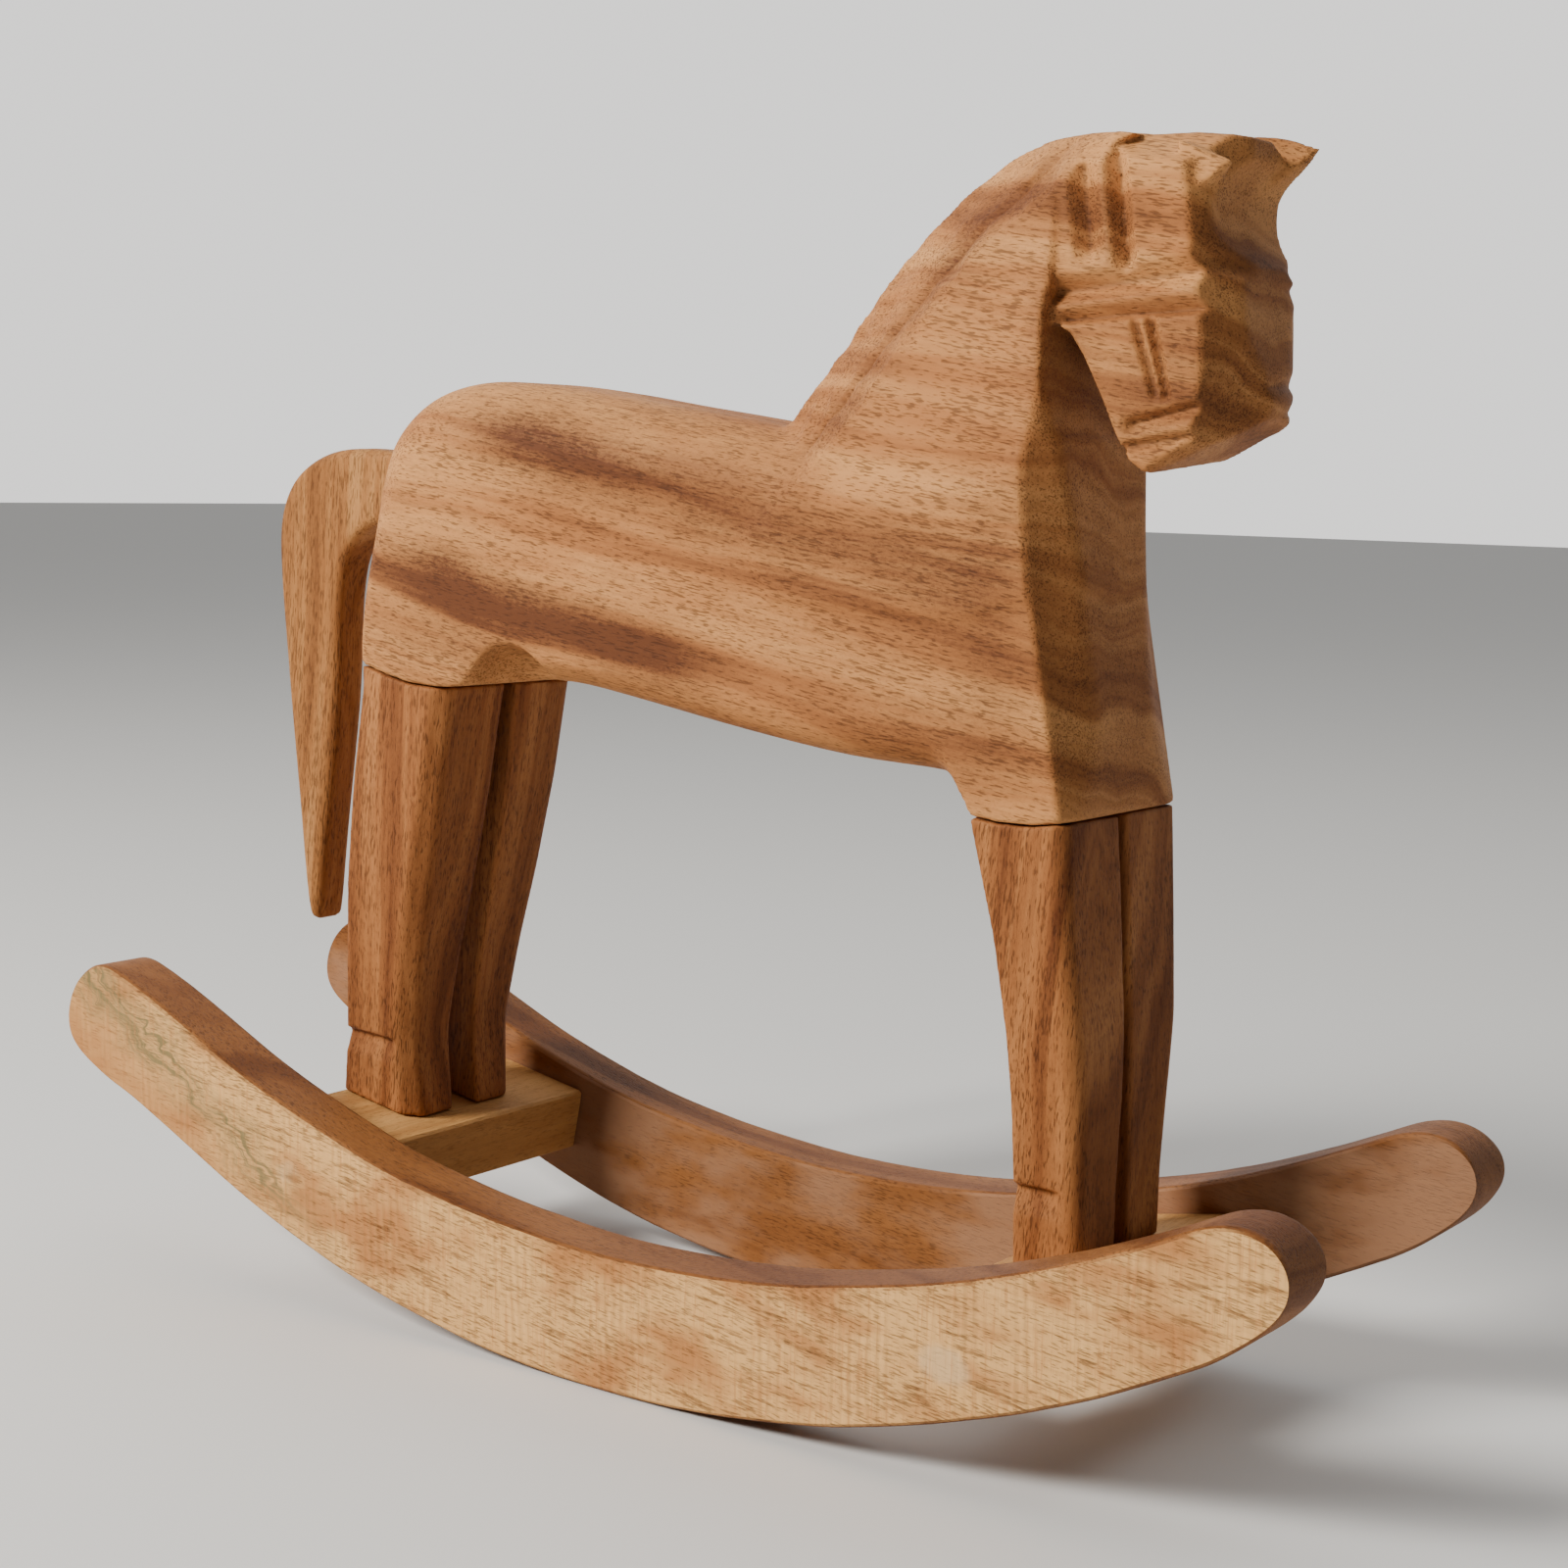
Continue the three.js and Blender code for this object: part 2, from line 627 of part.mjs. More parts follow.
/** The round end of a rocker: the circle that touches both arcs and the plane at the tip. */
function tipCircle(tip, towards) {
  let low = 1;
  let high = ROCKER_DEPTH;
  for (let i = 0; i < 40; i += 1) {
    const r = (low + high) / 2;
    const x = tip - towards * r;
    const z = UNDERSIDE.z - Math.sqrt((UNDERSIDE.r - r) ** 2 - (x - UNDERSIDE.x) ** 2);
    const toTop = Math.hypot(x - TOP_EDGE.x, z - TOP_EDGE.z) - TOP_EDGE.r;
    if (toTop > r) low = r;
    else high = r;
  }
  const r = (low + high) / 2;
  const x = tip - towards * r;
  return { x, z: UNDERSIDE.z - Math.sqrt((UNDERSIDE.r - r) ** 2 - (x - UNDERSIDE.x) ** 2), r };
}

const angleFrom = (centre, point) => Math.atan2(point.z - centre.z, point.x - centre.x);

function rockerOutline() {
  const rear = tipCircle(-ROCKER_LENGTH / 2, -1);
  const front = tipCircle(ROCKER_LENGTH / 2, 1);
  const turn = 2 * Math.PI;
  const under = arcPoints(UNDERSIDE, angleFrom(UNDERSIDE, rear), angleFrom(UNDERSIDE, front), ARC_STEPS);
  const over = arcPoints(TOP_EDGE, angleFrom(TOP_EDGE, front), angleFrom(TOP_EDGE, rear), ARC_STEPS);
  const nose = arcPoints(
    front, angleFrom(UNDERSIDE, front), angleFrom(TOP_EDGE, front) + Math.PI, TIP_STEPS);
  const heel = arcPoints(
    rear, angleFrom(TOP_EDGE, rear) + Math.PI, angleFrom(UNDERSIDE, rear) + turn, TIP_STEPS);
  return [...under, ...nose.slice(1, -1), ...over, ...heel.slice(1, -1)];
}

const ROCKER_OUTER = ROCKER_SPAN / 2;
const ROCKER_INNER = ROCKER_OUTER - ROCKER_THICK;
const NAIL_SINK = FILLER_DEPTH + GAP;
const NAIL_LENGTH = ROCKER_THICK - NAIL_SINK + NAIL_BITE;

function nailBores(side) {
  return [REAR_SLAT, FRONT_SLAT].flatMap(({ x, z }) => {
    const point = [x, side * (ROCKER_INNER - NAIL_BITE - GAP), z];
    const seat = [x, side * (ROCKER_OUTER - NAIL_SINK - NAIL_HEAD_THICK - GAP), z];
    const mouth = [x, side * (ROCKER_OUTER + OVERRUN), z];
    return [bar(point, mouth, NAIL_SHANK / 2 + GAP, 12), bar(seat, mouth, NAIL_HEAD / 2 + GAP, 16)];
  });
}

function rockerPiece(side) {
  const board = plate(rockerOutline(), ROCKER_THICK);
  board.translate(0, side * (ROCKER_OUTER - ROCKER_THICK / 2), 0);
  let solid = toSolid(board);
  for (const bore of nailBores(side)) solid = solid.subtract(toSolid(bore));
  return piece(`rocker_${sideName(side)}`, toGeometry(solid), 'rocker');
}

/** A countersunk screw along +Y: the head's flat end at y = 0. */
function screwGeometry(length, grow = 0) {
  const shank = SCREW_SHANK / 2 + grow;
  const head = SCREW_HEAD / 2 + grow;
  const cone = (SCREW_HEAD - SCREW_SHANK) / 2;
  const profile = [
    [0, -grow],
    [head, -grow],
    [head, SCREW_RIM],
    [shank, SCREW_RIM + cone],
    [shank, length - SCREW_POINT],
    [SCREW_TIP + grow, length + grow],
    [0, length + grow],
  ];
  return new THREE.LatheGeometry(profile.map(([r, y]) => new THREE.Vector2(r, y)), 16);
}

const SCREW_LENGTH = SLAT_THICK - SCREW_SINK + SCREW_BITE;

function placeScrew(object, leg, side) {
  const { foot } = legCentres(leg, side);
  object.position.set(...offset(foot, leg.slat.up, SCREW_SINK - SLAT_THICK));
  object.quaternion.setFromUnitVectors(new THREE.Vector3(0, 1, 0), new THREE.Vector3(...leg.slat.up));
  return object;
}

function screwPiece(leg, side) {
  const name = `screw_${leg.name}_${sideName(side)}`;
  return placeScrew(piece(name, screwGeometry(SCREW_LENGTH), 'steel'), leg, side);
}

function slatPiece(name, slat, leg) {
  const length = 2 * (ROCKER_INNER - GAP);
  const board = new THREE.BoxGeometry(SLAT_WIDTH, length, SLAT_THICK);
  board.rotateY(-slat.lean);
  board.translate(slat.x, 0, slat.z);
  let solid = toSolid(board);
  for (const side of [RIGHT, LEFT]) {
    const bore = screwGeometry(SCREW_LENGTH + SCREW_POINT + OVERRUN, GAP);
    bore.translate(0, -GAP, 0);
    const place = placeScrew(new THREE.Object3D(), leg, side);
    place.updateMatrix();
    bore.applyMatrix4(place.matrix);
    const { foot } = legCentres(leg, side);
    const mouth = bar(
      offset(foot, slat.up, -SLAT_THICK - OVERRUN),
      offset(foot, slat.up, SCREW_SINK + SCREW_RIM / 2 - SLAT_THICK),
      SCREW_HEAD / 2 + GAP,
    );
    solid = solid.subtract(toSolid(bore)).subtract(toSolid(mouth));
    solid = solid.subtract(toSolid(bar(
      [slat.x, side * (ROCKER_INNER - NAIL_BITE - GAP), slat.z],
      [slat.x, side * (ROCKER_INNER + OVERRUN), slat.z],
      NAIL_SHANK / 2 + GAP,
      12,
    )));
  }
  return piece(name, toGeometry(solid), 'slat');
}

function nailPiece(name, slat, side) {
  const profile = [
    [0, 0],
    [NAIL_HEAD / 2, 0],
    [NAIL_HEAD / 2, NAIL_HEAD_THICK],
    [NAIL_SHANK / 2, NAIL_HEAD_THICK],
    [NAIL_SHANK / 2, NAIL_LENGTH - NAIL_POINT],
    [0, NAIL_LENGTH],
  ];
  const geometry = new THREE.LatheGeometry(profile.map(([r, y]) => new THREE.Vector2(r, y)), 12);
  const mesh = piece(`nail_${name}_${sideName(side)}`, geometry, 'steel');
  mesh.position.set(slat.x, side * (ROCKER_OUTER - NAIL_SINK), slat.z);
  if (side === LEFT) mesh.rotation.x = Math.PI;
  return mesh;
}

function fillerPiece(name, slat, side) {
  const geometry = new THREE.CylinderGeometry(NAIL_HEAD / 2, NAIL_HEAD / 2, FILLER_DEPTH, 16);
  const mesh = piece(`filler_${name}_${sideName(side)}`, geometry, 'filler');
  mesh.position.set(slat.x, side * (ROCKER_OUTER - FILLER_DEPTH / 2), slat.z);
  return mesh;
}

// ---------------------------------------------------------------- the assembly

const horse = new THREE.Group();
horse.add(bodyPiece(), tailPiece(), tailDowel());
for (const leg of [HIND_LEG, FRONT_LEG]) {
  for (const side of [RIGHT, LEFT]) {
    horse.add(legPiece(leg, side), legDowel(leg, side), screwPiece(leg, side));
  }
}

const base = new THREE.Group();
base.add(rockerPiece(RIGHT), rockerPiece(LEFT));
for (const [name, slat, leg] of [['rear', REAR_SLAT, HIND_LEG], ['front', FRONT_SLAT, FRONT_LEG]]) {
  base.add(slatPiece(`slat_${name}`, slat, leg));
  for (const side of [RIGHT, LEFT]) {
    base.add(nailPiece(name, slat, side), fillerPiece(name, slat, side));
  }
}

/** A mesh's mass in grams, and its centre of mass on the bench. */
function massOf(mesh) {
  mesh.updateMatrixWorld(true);
  const { position } = mesh.geometry.attributes;
  const index = mesh.geometry.index ?? { count: position.count, getX: (i) => i };
  const [a, b, c] = [new THREE.Vector3(), new THREE.Vector3(), new THREE.Vector3()];
  const centre = new THREE.Vector3();
  let volume = 0;
  for (let i = 0; i < index.count; i += 3) {
    [a, b, c].forEach((corner, k) => {
      corner.fromBufferAttribute(position, index.getX(i + k)).applyMatrix4(mesh.matrixWorld);
    });
    const part = a.dot(new THREE.Vector3().crossVectors(b, c)) / 6;
    volume += part;
    centre.addScaledVector(a.add(b).add(c), part / 4);
  }
  const density = mesh.material.metalness > 0 ? DENSITY.steel : DENSITY.wood;
  return { mass: volume * density, centre: centre.divideScalar(volume) };
}

/** Rolls the horse on its rockers to where it comes to rest, and centres it over the origin. */
function restOnFloor(assembly) {
  const total = new THREE.Vector3();
  let mass = 0;
  assembly.traverse((mesh) => {
    if (!mesh.isMesh) return;
    const one = massOf(mesh);
    mass += one.mass;
    total.addScaledVector(one.centre, one.mass);
  });
  total.divideScalar(mass);
  const roll = Math.atan2(UNDERSIDE.x - total.x, UNDERSIDE.z - total.z);
  assembly.position.set(-UNDERSIDE.x, 0, -UNDERSIDE.z);
  const pivot = new THREE.Group();
  pivot.add(assembly);
  pivot.rotation.y = -roll;
  pivot.position.set(0, 0, UNDERSIDE.z);
  const placed = new THREE.Group();
  placed.add(pivot);
  const box = new THREE.Box3().setFromObject(placed, true);
  placed.position.set(-(box.min.x + box.max.x) / 2, 0, -box.min.z);
  return placed;
}

const bench = new THREE.Group();
bench.add(horse, base);

const rockingHorse = new THREE.Group();
rockingHorse.add(restOnFloor(bench));

export default rockingHorse;
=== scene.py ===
"""The looks of a small carved rocking horse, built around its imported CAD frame.

The horse is carved from one block of warm brown hardwood, with four legs and a tail glued on. Its
feet stand on two slats that join a pair of crescent rockers with sawn, unpolished sides.

The carved pieces are worked out as distance fields, in the bench frame: millimetres, +X towards the
head, +Z up, with the rockers level. The pieces that follow a rule (rockers, slats, pins) are geometry
node trees with named inputs. Everything is then rolled onto the floor, where the horse comes to rest.
"""

import logging
import math
from collections.abc import Callable, Sequence
from dataclasses import dataclass, field, replace
from enum import Enum

import bpy
import numpy as np
import openvdb
from mathutils import Matrix, Vector

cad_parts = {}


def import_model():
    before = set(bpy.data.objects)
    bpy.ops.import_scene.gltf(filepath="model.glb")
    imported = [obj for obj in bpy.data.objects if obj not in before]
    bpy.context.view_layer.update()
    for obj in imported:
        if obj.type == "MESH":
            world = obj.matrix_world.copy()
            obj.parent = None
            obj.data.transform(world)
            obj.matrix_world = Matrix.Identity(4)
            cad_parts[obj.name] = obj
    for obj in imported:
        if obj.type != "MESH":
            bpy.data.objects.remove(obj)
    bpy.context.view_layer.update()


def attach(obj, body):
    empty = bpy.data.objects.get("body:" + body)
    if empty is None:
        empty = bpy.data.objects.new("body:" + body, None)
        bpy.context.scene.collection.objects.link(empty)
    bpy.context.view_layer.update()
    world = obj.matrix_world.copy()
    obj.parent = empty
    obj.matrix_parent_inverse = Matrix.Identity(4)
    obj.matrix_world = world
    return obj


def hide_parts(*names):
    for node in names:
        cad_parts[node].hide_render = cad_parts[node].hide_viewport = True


LOG = logging.getLogger("rocking_horse")
MM = 0.001
FINE_SHARE = 0.55  # spacing of the finer samples against the usual ones
FINE_LEAD = 6.0  # millimetres over which the spacing narrows
BODY_STEP = 0.80
SMALL_STEP = 0.45
GLUE_GAP = 0.15
GRAIN_CELLS = 32

Point2 = tuple[float, float]
Point3 = tuple[float, float, float]
Colour = tuple[float, float, float]
Values = np.ndarray
Finish = bpy.types.Material
Piece = bpy.types.Object


class Side(Enum):
    """The two sides of the horse, as the sign of Y."""

    RIGHT = -1
    LEFT = 1

    @property
    def label(self) -> str:
        """The side's name as the node names spell it."""
        return self.name.lower()


# ---------------------------------------------------------------- sizes


@dataclass(frozen=True)
class Rest:
    """How the horse comes to rest: rolled on its rockers until it balances."""

    roll_deg: float = 1.6237
    bench_x: float = 11.0
    floor_x: float = 6.097
    radius: float = 217.0

    def matrix(self) -> Matrix:
        """Returns the move from the bench frame to the row frame, both in millimetres."""
        lift = Matrix.Translation((self.floor_x, 0, self.radius))
        back = Matrix.Translation((-self.bench_x, 0, -self.radius))
        return lift @ Matrix.Rotation(math.radians(-self.roll_deg), 4, "Y") @ back


REST = Rest()


@dataclass(frozen=True)
class RockerSizes:
    """One crescent rocker, between the arc of its underside and the arc of its top edge.

    Args:
        length: tip to tip.
        thick: thickness of the board.
        outer: centre plane to the outer face.
        under_x: where the underside touches the bench.
        under_radius: radius of the underside.
        top_x: middle of the top edge's arc along X.
        top_z: its height.
        top_radius: its radius.
        rear_end: length of the rounding at the rear tip.
        front_end: length of the rounding at the front tip.
        ease: size of the eased edges.
        saw_wander: unevenness that the saw left.
    """

    length: float = 249.9
    thick: float = 12.0
    outer: float = 39.5
    under_x: float = 11.0
    under_radius: float = 217.0
    top_x: float = 13.5
    top_z: float = 250.5
    top_radius: float = 228.0
    rear_end: float = 13.0
    front_end: float = 15.0
    ease: float = 0.7
    saw_wander: float = 0.22

    def under(self, x: float) -> float:
        """Returns the height of the underside at x."""
        return self.under_radius - math.sqrt(self.under_radius**2 - (x - self.under_x) ** 2)

    def top(self, x: float) -> float:
        """Returns the height of the top edge at x."""
        return self.top_z - math.sqrt(self.top_radius**2 - (x - self.top_x) ** 2)


@dataclass(frozen=True)
class SlatSizes:
    """One slat between the rockers, under a pair of feet."""

    name: str
    x: float
    width: float = 24.0
    thick: float = 12.0
    lean_share: float = 0.55
    length: float = 54.4

    def lean(self, rocker: RockerSizes) -> float:
        """Returns the slat's slope along X, in radians."""
        return self.lean_share * math.asin((self.x - rocker.under_x) / rocker.under_radius)

    def middle(self, rocker: RockerSizes) -> float:
        """Returns the height of the slat's centre line."""
        return (rocker.under(self.x) + rocker.top(self.x)) / 2

    def top_at(self, rocker: RockerSizes, x: float) -> float:
        """Returns the height of the slat's top face at x."""
        lean = self.lean(rocker)
        return self.middle(rocker) + self.thick / 2 / math.cos(lean) + (x - self.x) * math.tan(lean)


@dataclass(frozen=True)
class LegStation:
    """A level of a leg: its height and its four sides, in the bench frame."""

    z: float
    rear: float
    front: float
    outer: float
    inner: float


@dataclass(frozen=True)
class LegSizes:
    """One pair of legs, as levels from the joint down to the slat.

    Args:
        name: the pair's name.
        stations: the levels, the joint's first.
        joint: the line of the glued joint under the body.
        chamfer: size of the facet along the front outer edge.
        hoof: both ends of the hoof's cut.
        seed: seed of the right leg's unevenness.
        knife: depth of the hoof's cut.
    """

    name: str
    stations: tuple[LegStation, ...]
    joint: tuple[Point2, ...]
    chamfer: float
    hoof: tuple[Point2, Point2]
    seed: int
    knife: float = 1.3


@dataclass(frozen=True)
class Cut:
    """A knife cut in a flat side: a V with one wall above its line and one below.

    Args:
        start: where the cut begins, in the plane of the side.
        end: where it ends.
        depth: how deep the V is.
        above: width of the wall on the upper side.
        below: width of the wall on the lower side.
        fade: length over which the cut runs out at each end.
    """

    start: Point2
    end: Point2
    depth: float
    above: float
    below: float
    fade: float = 1.5


HIND_JOINT = ((-67.5, 114.5), (-62.0, 112.8), (-56.0, 111.4), (-50.0, 111.0), (-47.5, 111.0))
FRONT_JOINT = ((61.1, 95.6), (66.0, 95.0), (72.0, 94.9), (78.0, 95.6))

HIND_LEG = LegSizes(
    name="hind_leg",
    joint=HIND_JOINT,
    stations=(
        LegStation(110.7, -67.2, -47.6, 18.5, 1.5),
        LegStation(93.0, -70.3, -50.9, 18.3, 2.1),
        LegStation(75.0, -72.9, -55.0, 17.6, 2.5),
        LegStation(60.0, -74.6, -58.5, 16.3, 2.9),
        LegStation(46.0, -76.0, -61.2, 15.2, 3.2),
        LegStation(30.0, -78.4, -60.4, 14.2, 3.0),
    ),
    chamfer=3.0,
    hoof=((-80.0, 46.6), (-64.5, 45.2)),
    seed=21,
)

FRONT_LEG = LegSizes(
    name="front_leg",
    joint=FRONT_JOINT,
    stations=(
        LegStation(95.1, 61.1, 77.6, 18.5, 1.0),
        LegStation(78.0, 65.1, 78.3, 18.1, 1.0),
        LegStation(62.0, 67.0, 79.1, 16.9, 1.1),
        LegStation(51.0, 67.2, 79.0, 15.4, 1.3),
        LegStation(38.0, 67.0, 78.6, 14.2, 1.8),
        LegStation(24.0, 66.5, 78.4, 13.6, 2.4),
    ),
    chamfer=1.8,
    hoof=((64.0, 38.4), (74.5, 38.0)),
    seed=31,
)


@dataclass(frozen=True)
class BodySizes:
    """The carved block: barrel, neck and head.

    Args:
        half: half the width of the barrel.
        head_half: half the width of the head.
        face_x: how far forward the middle of the face reaches.
        face_bow: how fast the face curves back towards its sides.
        mane_top: height of the ears' level tops.
        nick: middle of the scoop cut between haunch and belly.
        nick_radius: its radius.
        brow: middle of the hollow under the ears.
        brow_radius: its radius.
        hind_joint: line of the glued joint above the hind legs.
        front_joint: the same above the front legs.
        crown: line of the rump and back.
        belly: line of the belly, from the front legs to the hind ones.
        chest: line of the chest, downwards.
        crest: line of the mane, from the back to the poll.
        skull: outline of the head.
    """

    half: float = 18.5
    head_half: float = 13.0
    face_x: float = 101.6
    face_bow: float = 0.018
    mane_top: float = 197.2
    nick: Point3 = (-32.5, 20.8, 109.5)
    nick_radius: float = 9.6
    brow: Point2 = (106.0, 185.0)
    brow_radius: float = 10.4
    hind_joint: tuple[Point2, ...] = HIND_JOINT
    front_joint: tuple[Point2, ...] = FRONT_JOINT
    crown: tuple[Point2, ...] = (
        (-67.5, 138.0),
        (-67.2, 148.0),
        (-64.3, 156.0),
        (-57.0, 161.9),
        (-47.5, 164.3),
        (-36.0, 164.0),
        (-21.0, 162.0),
        (-7.4, 159.7),
        (6.0, 157.6),
        (17.2, 155.6),
        (32.0, 152.0),
    )
    belly: tuple[Point2, ...] = (
        (61.1, 95.4),
        (58.6, 99.6),
        (54.0, 101.6),
        (36.0, 103.0),
        (16.5, 105.9),
        (-3.9, 109.6),
        (-19.0, 112.2),
        (-28.0, 112.6),
        (-40.0, 111.6),
        (-47.5, 111.0),
    )
    chest: tuple[Point2, ...] = (
        (70.0, 168.0),
        (72.2, 158.0),
        (73.4, 148.0),
        (74.8, 136.0),
        (76.6, 121.0),
        (78.3, 105.0),
        (78.0, 95.4),
    )
    crest: tuple[Point2, ...] = (
        (14.0, 146.0),
        (19.5, 155.6),
        (27.0, 165.7),
        (36.4, 178.8),
        (43.8, 185.8),
        (52.7, 192.6),
        (59.8, 196.2),
        (66.6, 197.4),
        (78.4, 197.2),
        (84.0, 196.4),
    )
    skull: tuple[Point2, ...] = (
        (64.0, 197.4),
        (78.4, 197.2),
        (84.0, 196.6),
        (91.0, 196.6),
        (98.5, 195.6),
        (99.0, 190.5),
        (99.0, 180.0),
        (99.4, 172.0),
        (100.6, 163.0),
        (101.4, 157.0),
        (100.9, 154.6),
        (96.5, 151.6),
        (91.2, 149.0),
        (87.4, 147.4),
        (84.6, 149.4),
        (82.3, 153.3),
        (80.1, 158.3),
        (76.9, 164.4),
        (74.6, 167.8),
        (70.5, 170.4),
    )


@dataclass(frozen=True)
class EarSizes:
    """One ear, a wedge cut from an upper corner of the head.

    Args:
        tip: its point, in front of the brow.
        root_z: height of its underside, where it leaves the head.
        knee_x: where its top becomes level.
        rear_x: where it ends inside the head.
        out: 1 for the left ear and -1 for the right one.
    """

    tip: Point3
    root_z: float
    knee_x: float
    rear_x: float
    out: float


@dataclass(frozen=True)
class TailSizes:
    """The tail: a flat board cut to a drooping shape."""

    half: float = 4.0
    round: float = 1.6
    outline: tuple[Point2, ...] = (
        (-67.8, 151.6),
        (-78.0, 153.2),
        (-88.0, 153.2),
        (-95.5, 150.6),
        (-100.8, 146.0),
        (-103.5, 139.0),
        (-103.6, 128.0),
        (-102.6, 113.0),
        (-100.6, 90.0),
        (-98.0, 67.5),
        (-96.2, 63.8),
        (-94.9, 66.0),
        (-92.8, 81.0),
        (-89.0, 106.0),
        (-87.4, 126.0),
        (-84.6, 134.6),
        (-78.6, 138.8),
        (-67.8, 139.4),
    )


# ---------------------------------------------------------------- distance fields


def smooth_step(low: float, high: float, value: Values) -> Values:
    """Returns 0 below low, 1 above high, and an easy curve between."""
    t = np.clip((value - low) / (high - low), 0, 1)
    return t * t * (3 - 2 * t)


def both(a: Values, b: Values, radius: float | Values) -> Values:
    """Returns the field inside both a and b, its edge rounded to a radius."""
    outside = np.hypot(np.maximum(a + radius, 0), np.maximum(b + radius, 0))
    return np.minimum(np.maximum(a, b), -radius) + outside


def either(a: Values, b: Values, blend: float) -> Values:
    """Returns the field inside a or b, with a fillet where they meet."""
    h = np.maximum(blend - np.abs(a - b), 0) / blend
    return np.minimum(a, b) - h * h * blend / 4


def through(points: Sequence[Point2], steps: int = 5) -> list[Point2]:
    """Returns points along a smooth curve through the given ones."""
    p = np.array([points[0], *points, points[-1]], float)
    out: list[Point2] = []
    for a, b, c, d in zip(p, p[1:], p[2:], p[3:]):
        for t in np.arange(steps) / steps:
            bend, twist = 2 * a - 5 * b + 4 * c - d, 3 * b - a - 3 * c + d
            x, z = 0.5 * (2 * b + (c - a) * t + bend * t**2 + twist * t**3)
            out.append((float(x), float(z)))
    return [*out, (float(p[-1][0]), float(p[-1][1]))]


def outline_distance(x: Values, z: Values, outline: Sequence[Point2]) -> Values:
    """Returns the signed distance to a closed outline, negative inside."""
    best = np.full(np.broadcast_shapes(x.shape, z.shape), 1e9)
    inside = np.zeros(best.shape, bool)
    for (ax, az), (bx, bz) in zip(outline, [*outline[1:], outline[0]]):
        ex, ez = bx - ax, bz - az
        px, pz = x - ax, z - az
        t = np.clip((px * ex + pz * ez) / max(ex * ex + ez * ez, 1e-9), 0, 1)
        best = np.minimum(best, (px - ex * t) ** 2 + (pz - ez * t) ** 2)
        crosses = ((az > z) != (bz > z)) & (x < (bx - ax) * (z - az) / (bz - az + 1e-12) + ax)
        inside ^= crosses
    return np.sqrt(best) * np.where(inside, -1.0, 1.0)


def beyond(
    x: Values, y: Values, z: Values, a: Point3, b: Point3, c: Point3, keep: Point3
) -> Values:
    """Returns the distance beyond the plane through a, b and c, negative on the side of keep."""
    pa, pb, pc, pk = (np.array(p, float) for p in (a, b, c, keep))
    n = np.cross(pb - pa, pc - pa)
    n /= np.linalg.norm(n)
    if (pk - pa) @ n > 0:
        n = -n
    return (x - pa[0]) * n[0] + (y - pa[1]) * n[1] + (z - pa[2]) * n[2]


def carved(u: Values, v: Values, cuts: Sequence[Cut]) -> Values:
    """Returns how deep the deepest knife cut goes at each point of a side."""
    depth = np.zeros(np.broadcast_shapes(u.shape, v.shape))
    for cut in cuts:
        run = np.array(cut.end, float) - np.array(cut.start, float)
        length = float(np.hypot(*run))
        run /= length
        du, dv = u - cut.start[0], v - cut.start[1]
        along = du * run[0] + dv * run[1]
        across = dv * run[0] - du * run[1]
        wall = np.where(across > 0, 1 - across / cut.above, 1 + across / cut.below)
        ends = np.clip(np.minimum(along, length - along) / cut.fade + 0.5, 0, 1)
        depth = np.maximum(depth, cut.depth * np.clip(wall, 0, 1) * ends)
    return depth


class Grain:
    """Smooth random unevenness, the same at every run."""

    def __init__(self, seed: int) -> None:
        """Draws the table of random values."""
        self.table = np.random.default_rng(seed).uniform(-1, 1, (GRAIN_CELLS,) * 3)

    def at(self, x: Values, y: Values, z: Values, size: float | Point3) -> Values:
        """Returns unevenness from -1 to 1, with lumps of about the given size."""
        sizes = (size, size, size) if isinstance(size, (int, float)) else size
        whole, part = [], []
        for value, lump in zip((x, y, z), sizes):
            scaled = value / lump + 7.3
            low = np.floor(scaled)
            t = scaled - low
            whole.append(low.astype(int))
            part.append(t * t * (3 - 2 * t))
        total = 0.0
        for corner in np.ndindex(2, 2, 2):
            weight = 1.0
            for k in range(3):
                weight = weight * (part[k] if corner[k] else 1 - part[k])
            i, j, k = ((whole[n] + corner[n]) % GRAIN_CELLS for n in range(3))
            total = total + self.table[i, j, k] * weight
        return total


FieldRule = Callable[[Values, Values, Values], Values]


def to_floor(points: Values) -> Values:
    """Returns bench points in millimetres as row frame points in metres."""
    m = np.array(REST.matrix())
    return (points @ m[:3, :3].T + m[:3, 3]) * MM


def make_piece(name: str, points: Values, faces: Values, finish: Finish) -> Piece:
    """Returns a named mesh object."""
    mesh = bpy.data.meshes.new(name)
    mesh.from_pydata(points.tolist(), [], faces.tolist())
    mesh.materials.append(finish)
    mesh.shade_smooth()
    piece = bpy.data.objects.new(name, mesh)
    bpy.context.scene.collection.objects.link(piece)
    return piece


def samples(low: float, high: float, step: float, fine_from: float | None) -> Values:
    """Returns places from low to high, a step apart, and closer together past fine_from."""
    places = [low]
    while places[-1] < high:
        share = 0.0
        if fine_from is not None:
            share = float(smooth_step(fine_from - FINE_LEAD, fine_from, np.array(places[-1])))
        places.append(places[-1] + step * (1 - (1 - FINE_SHARE) * share))
    return np.array(places)


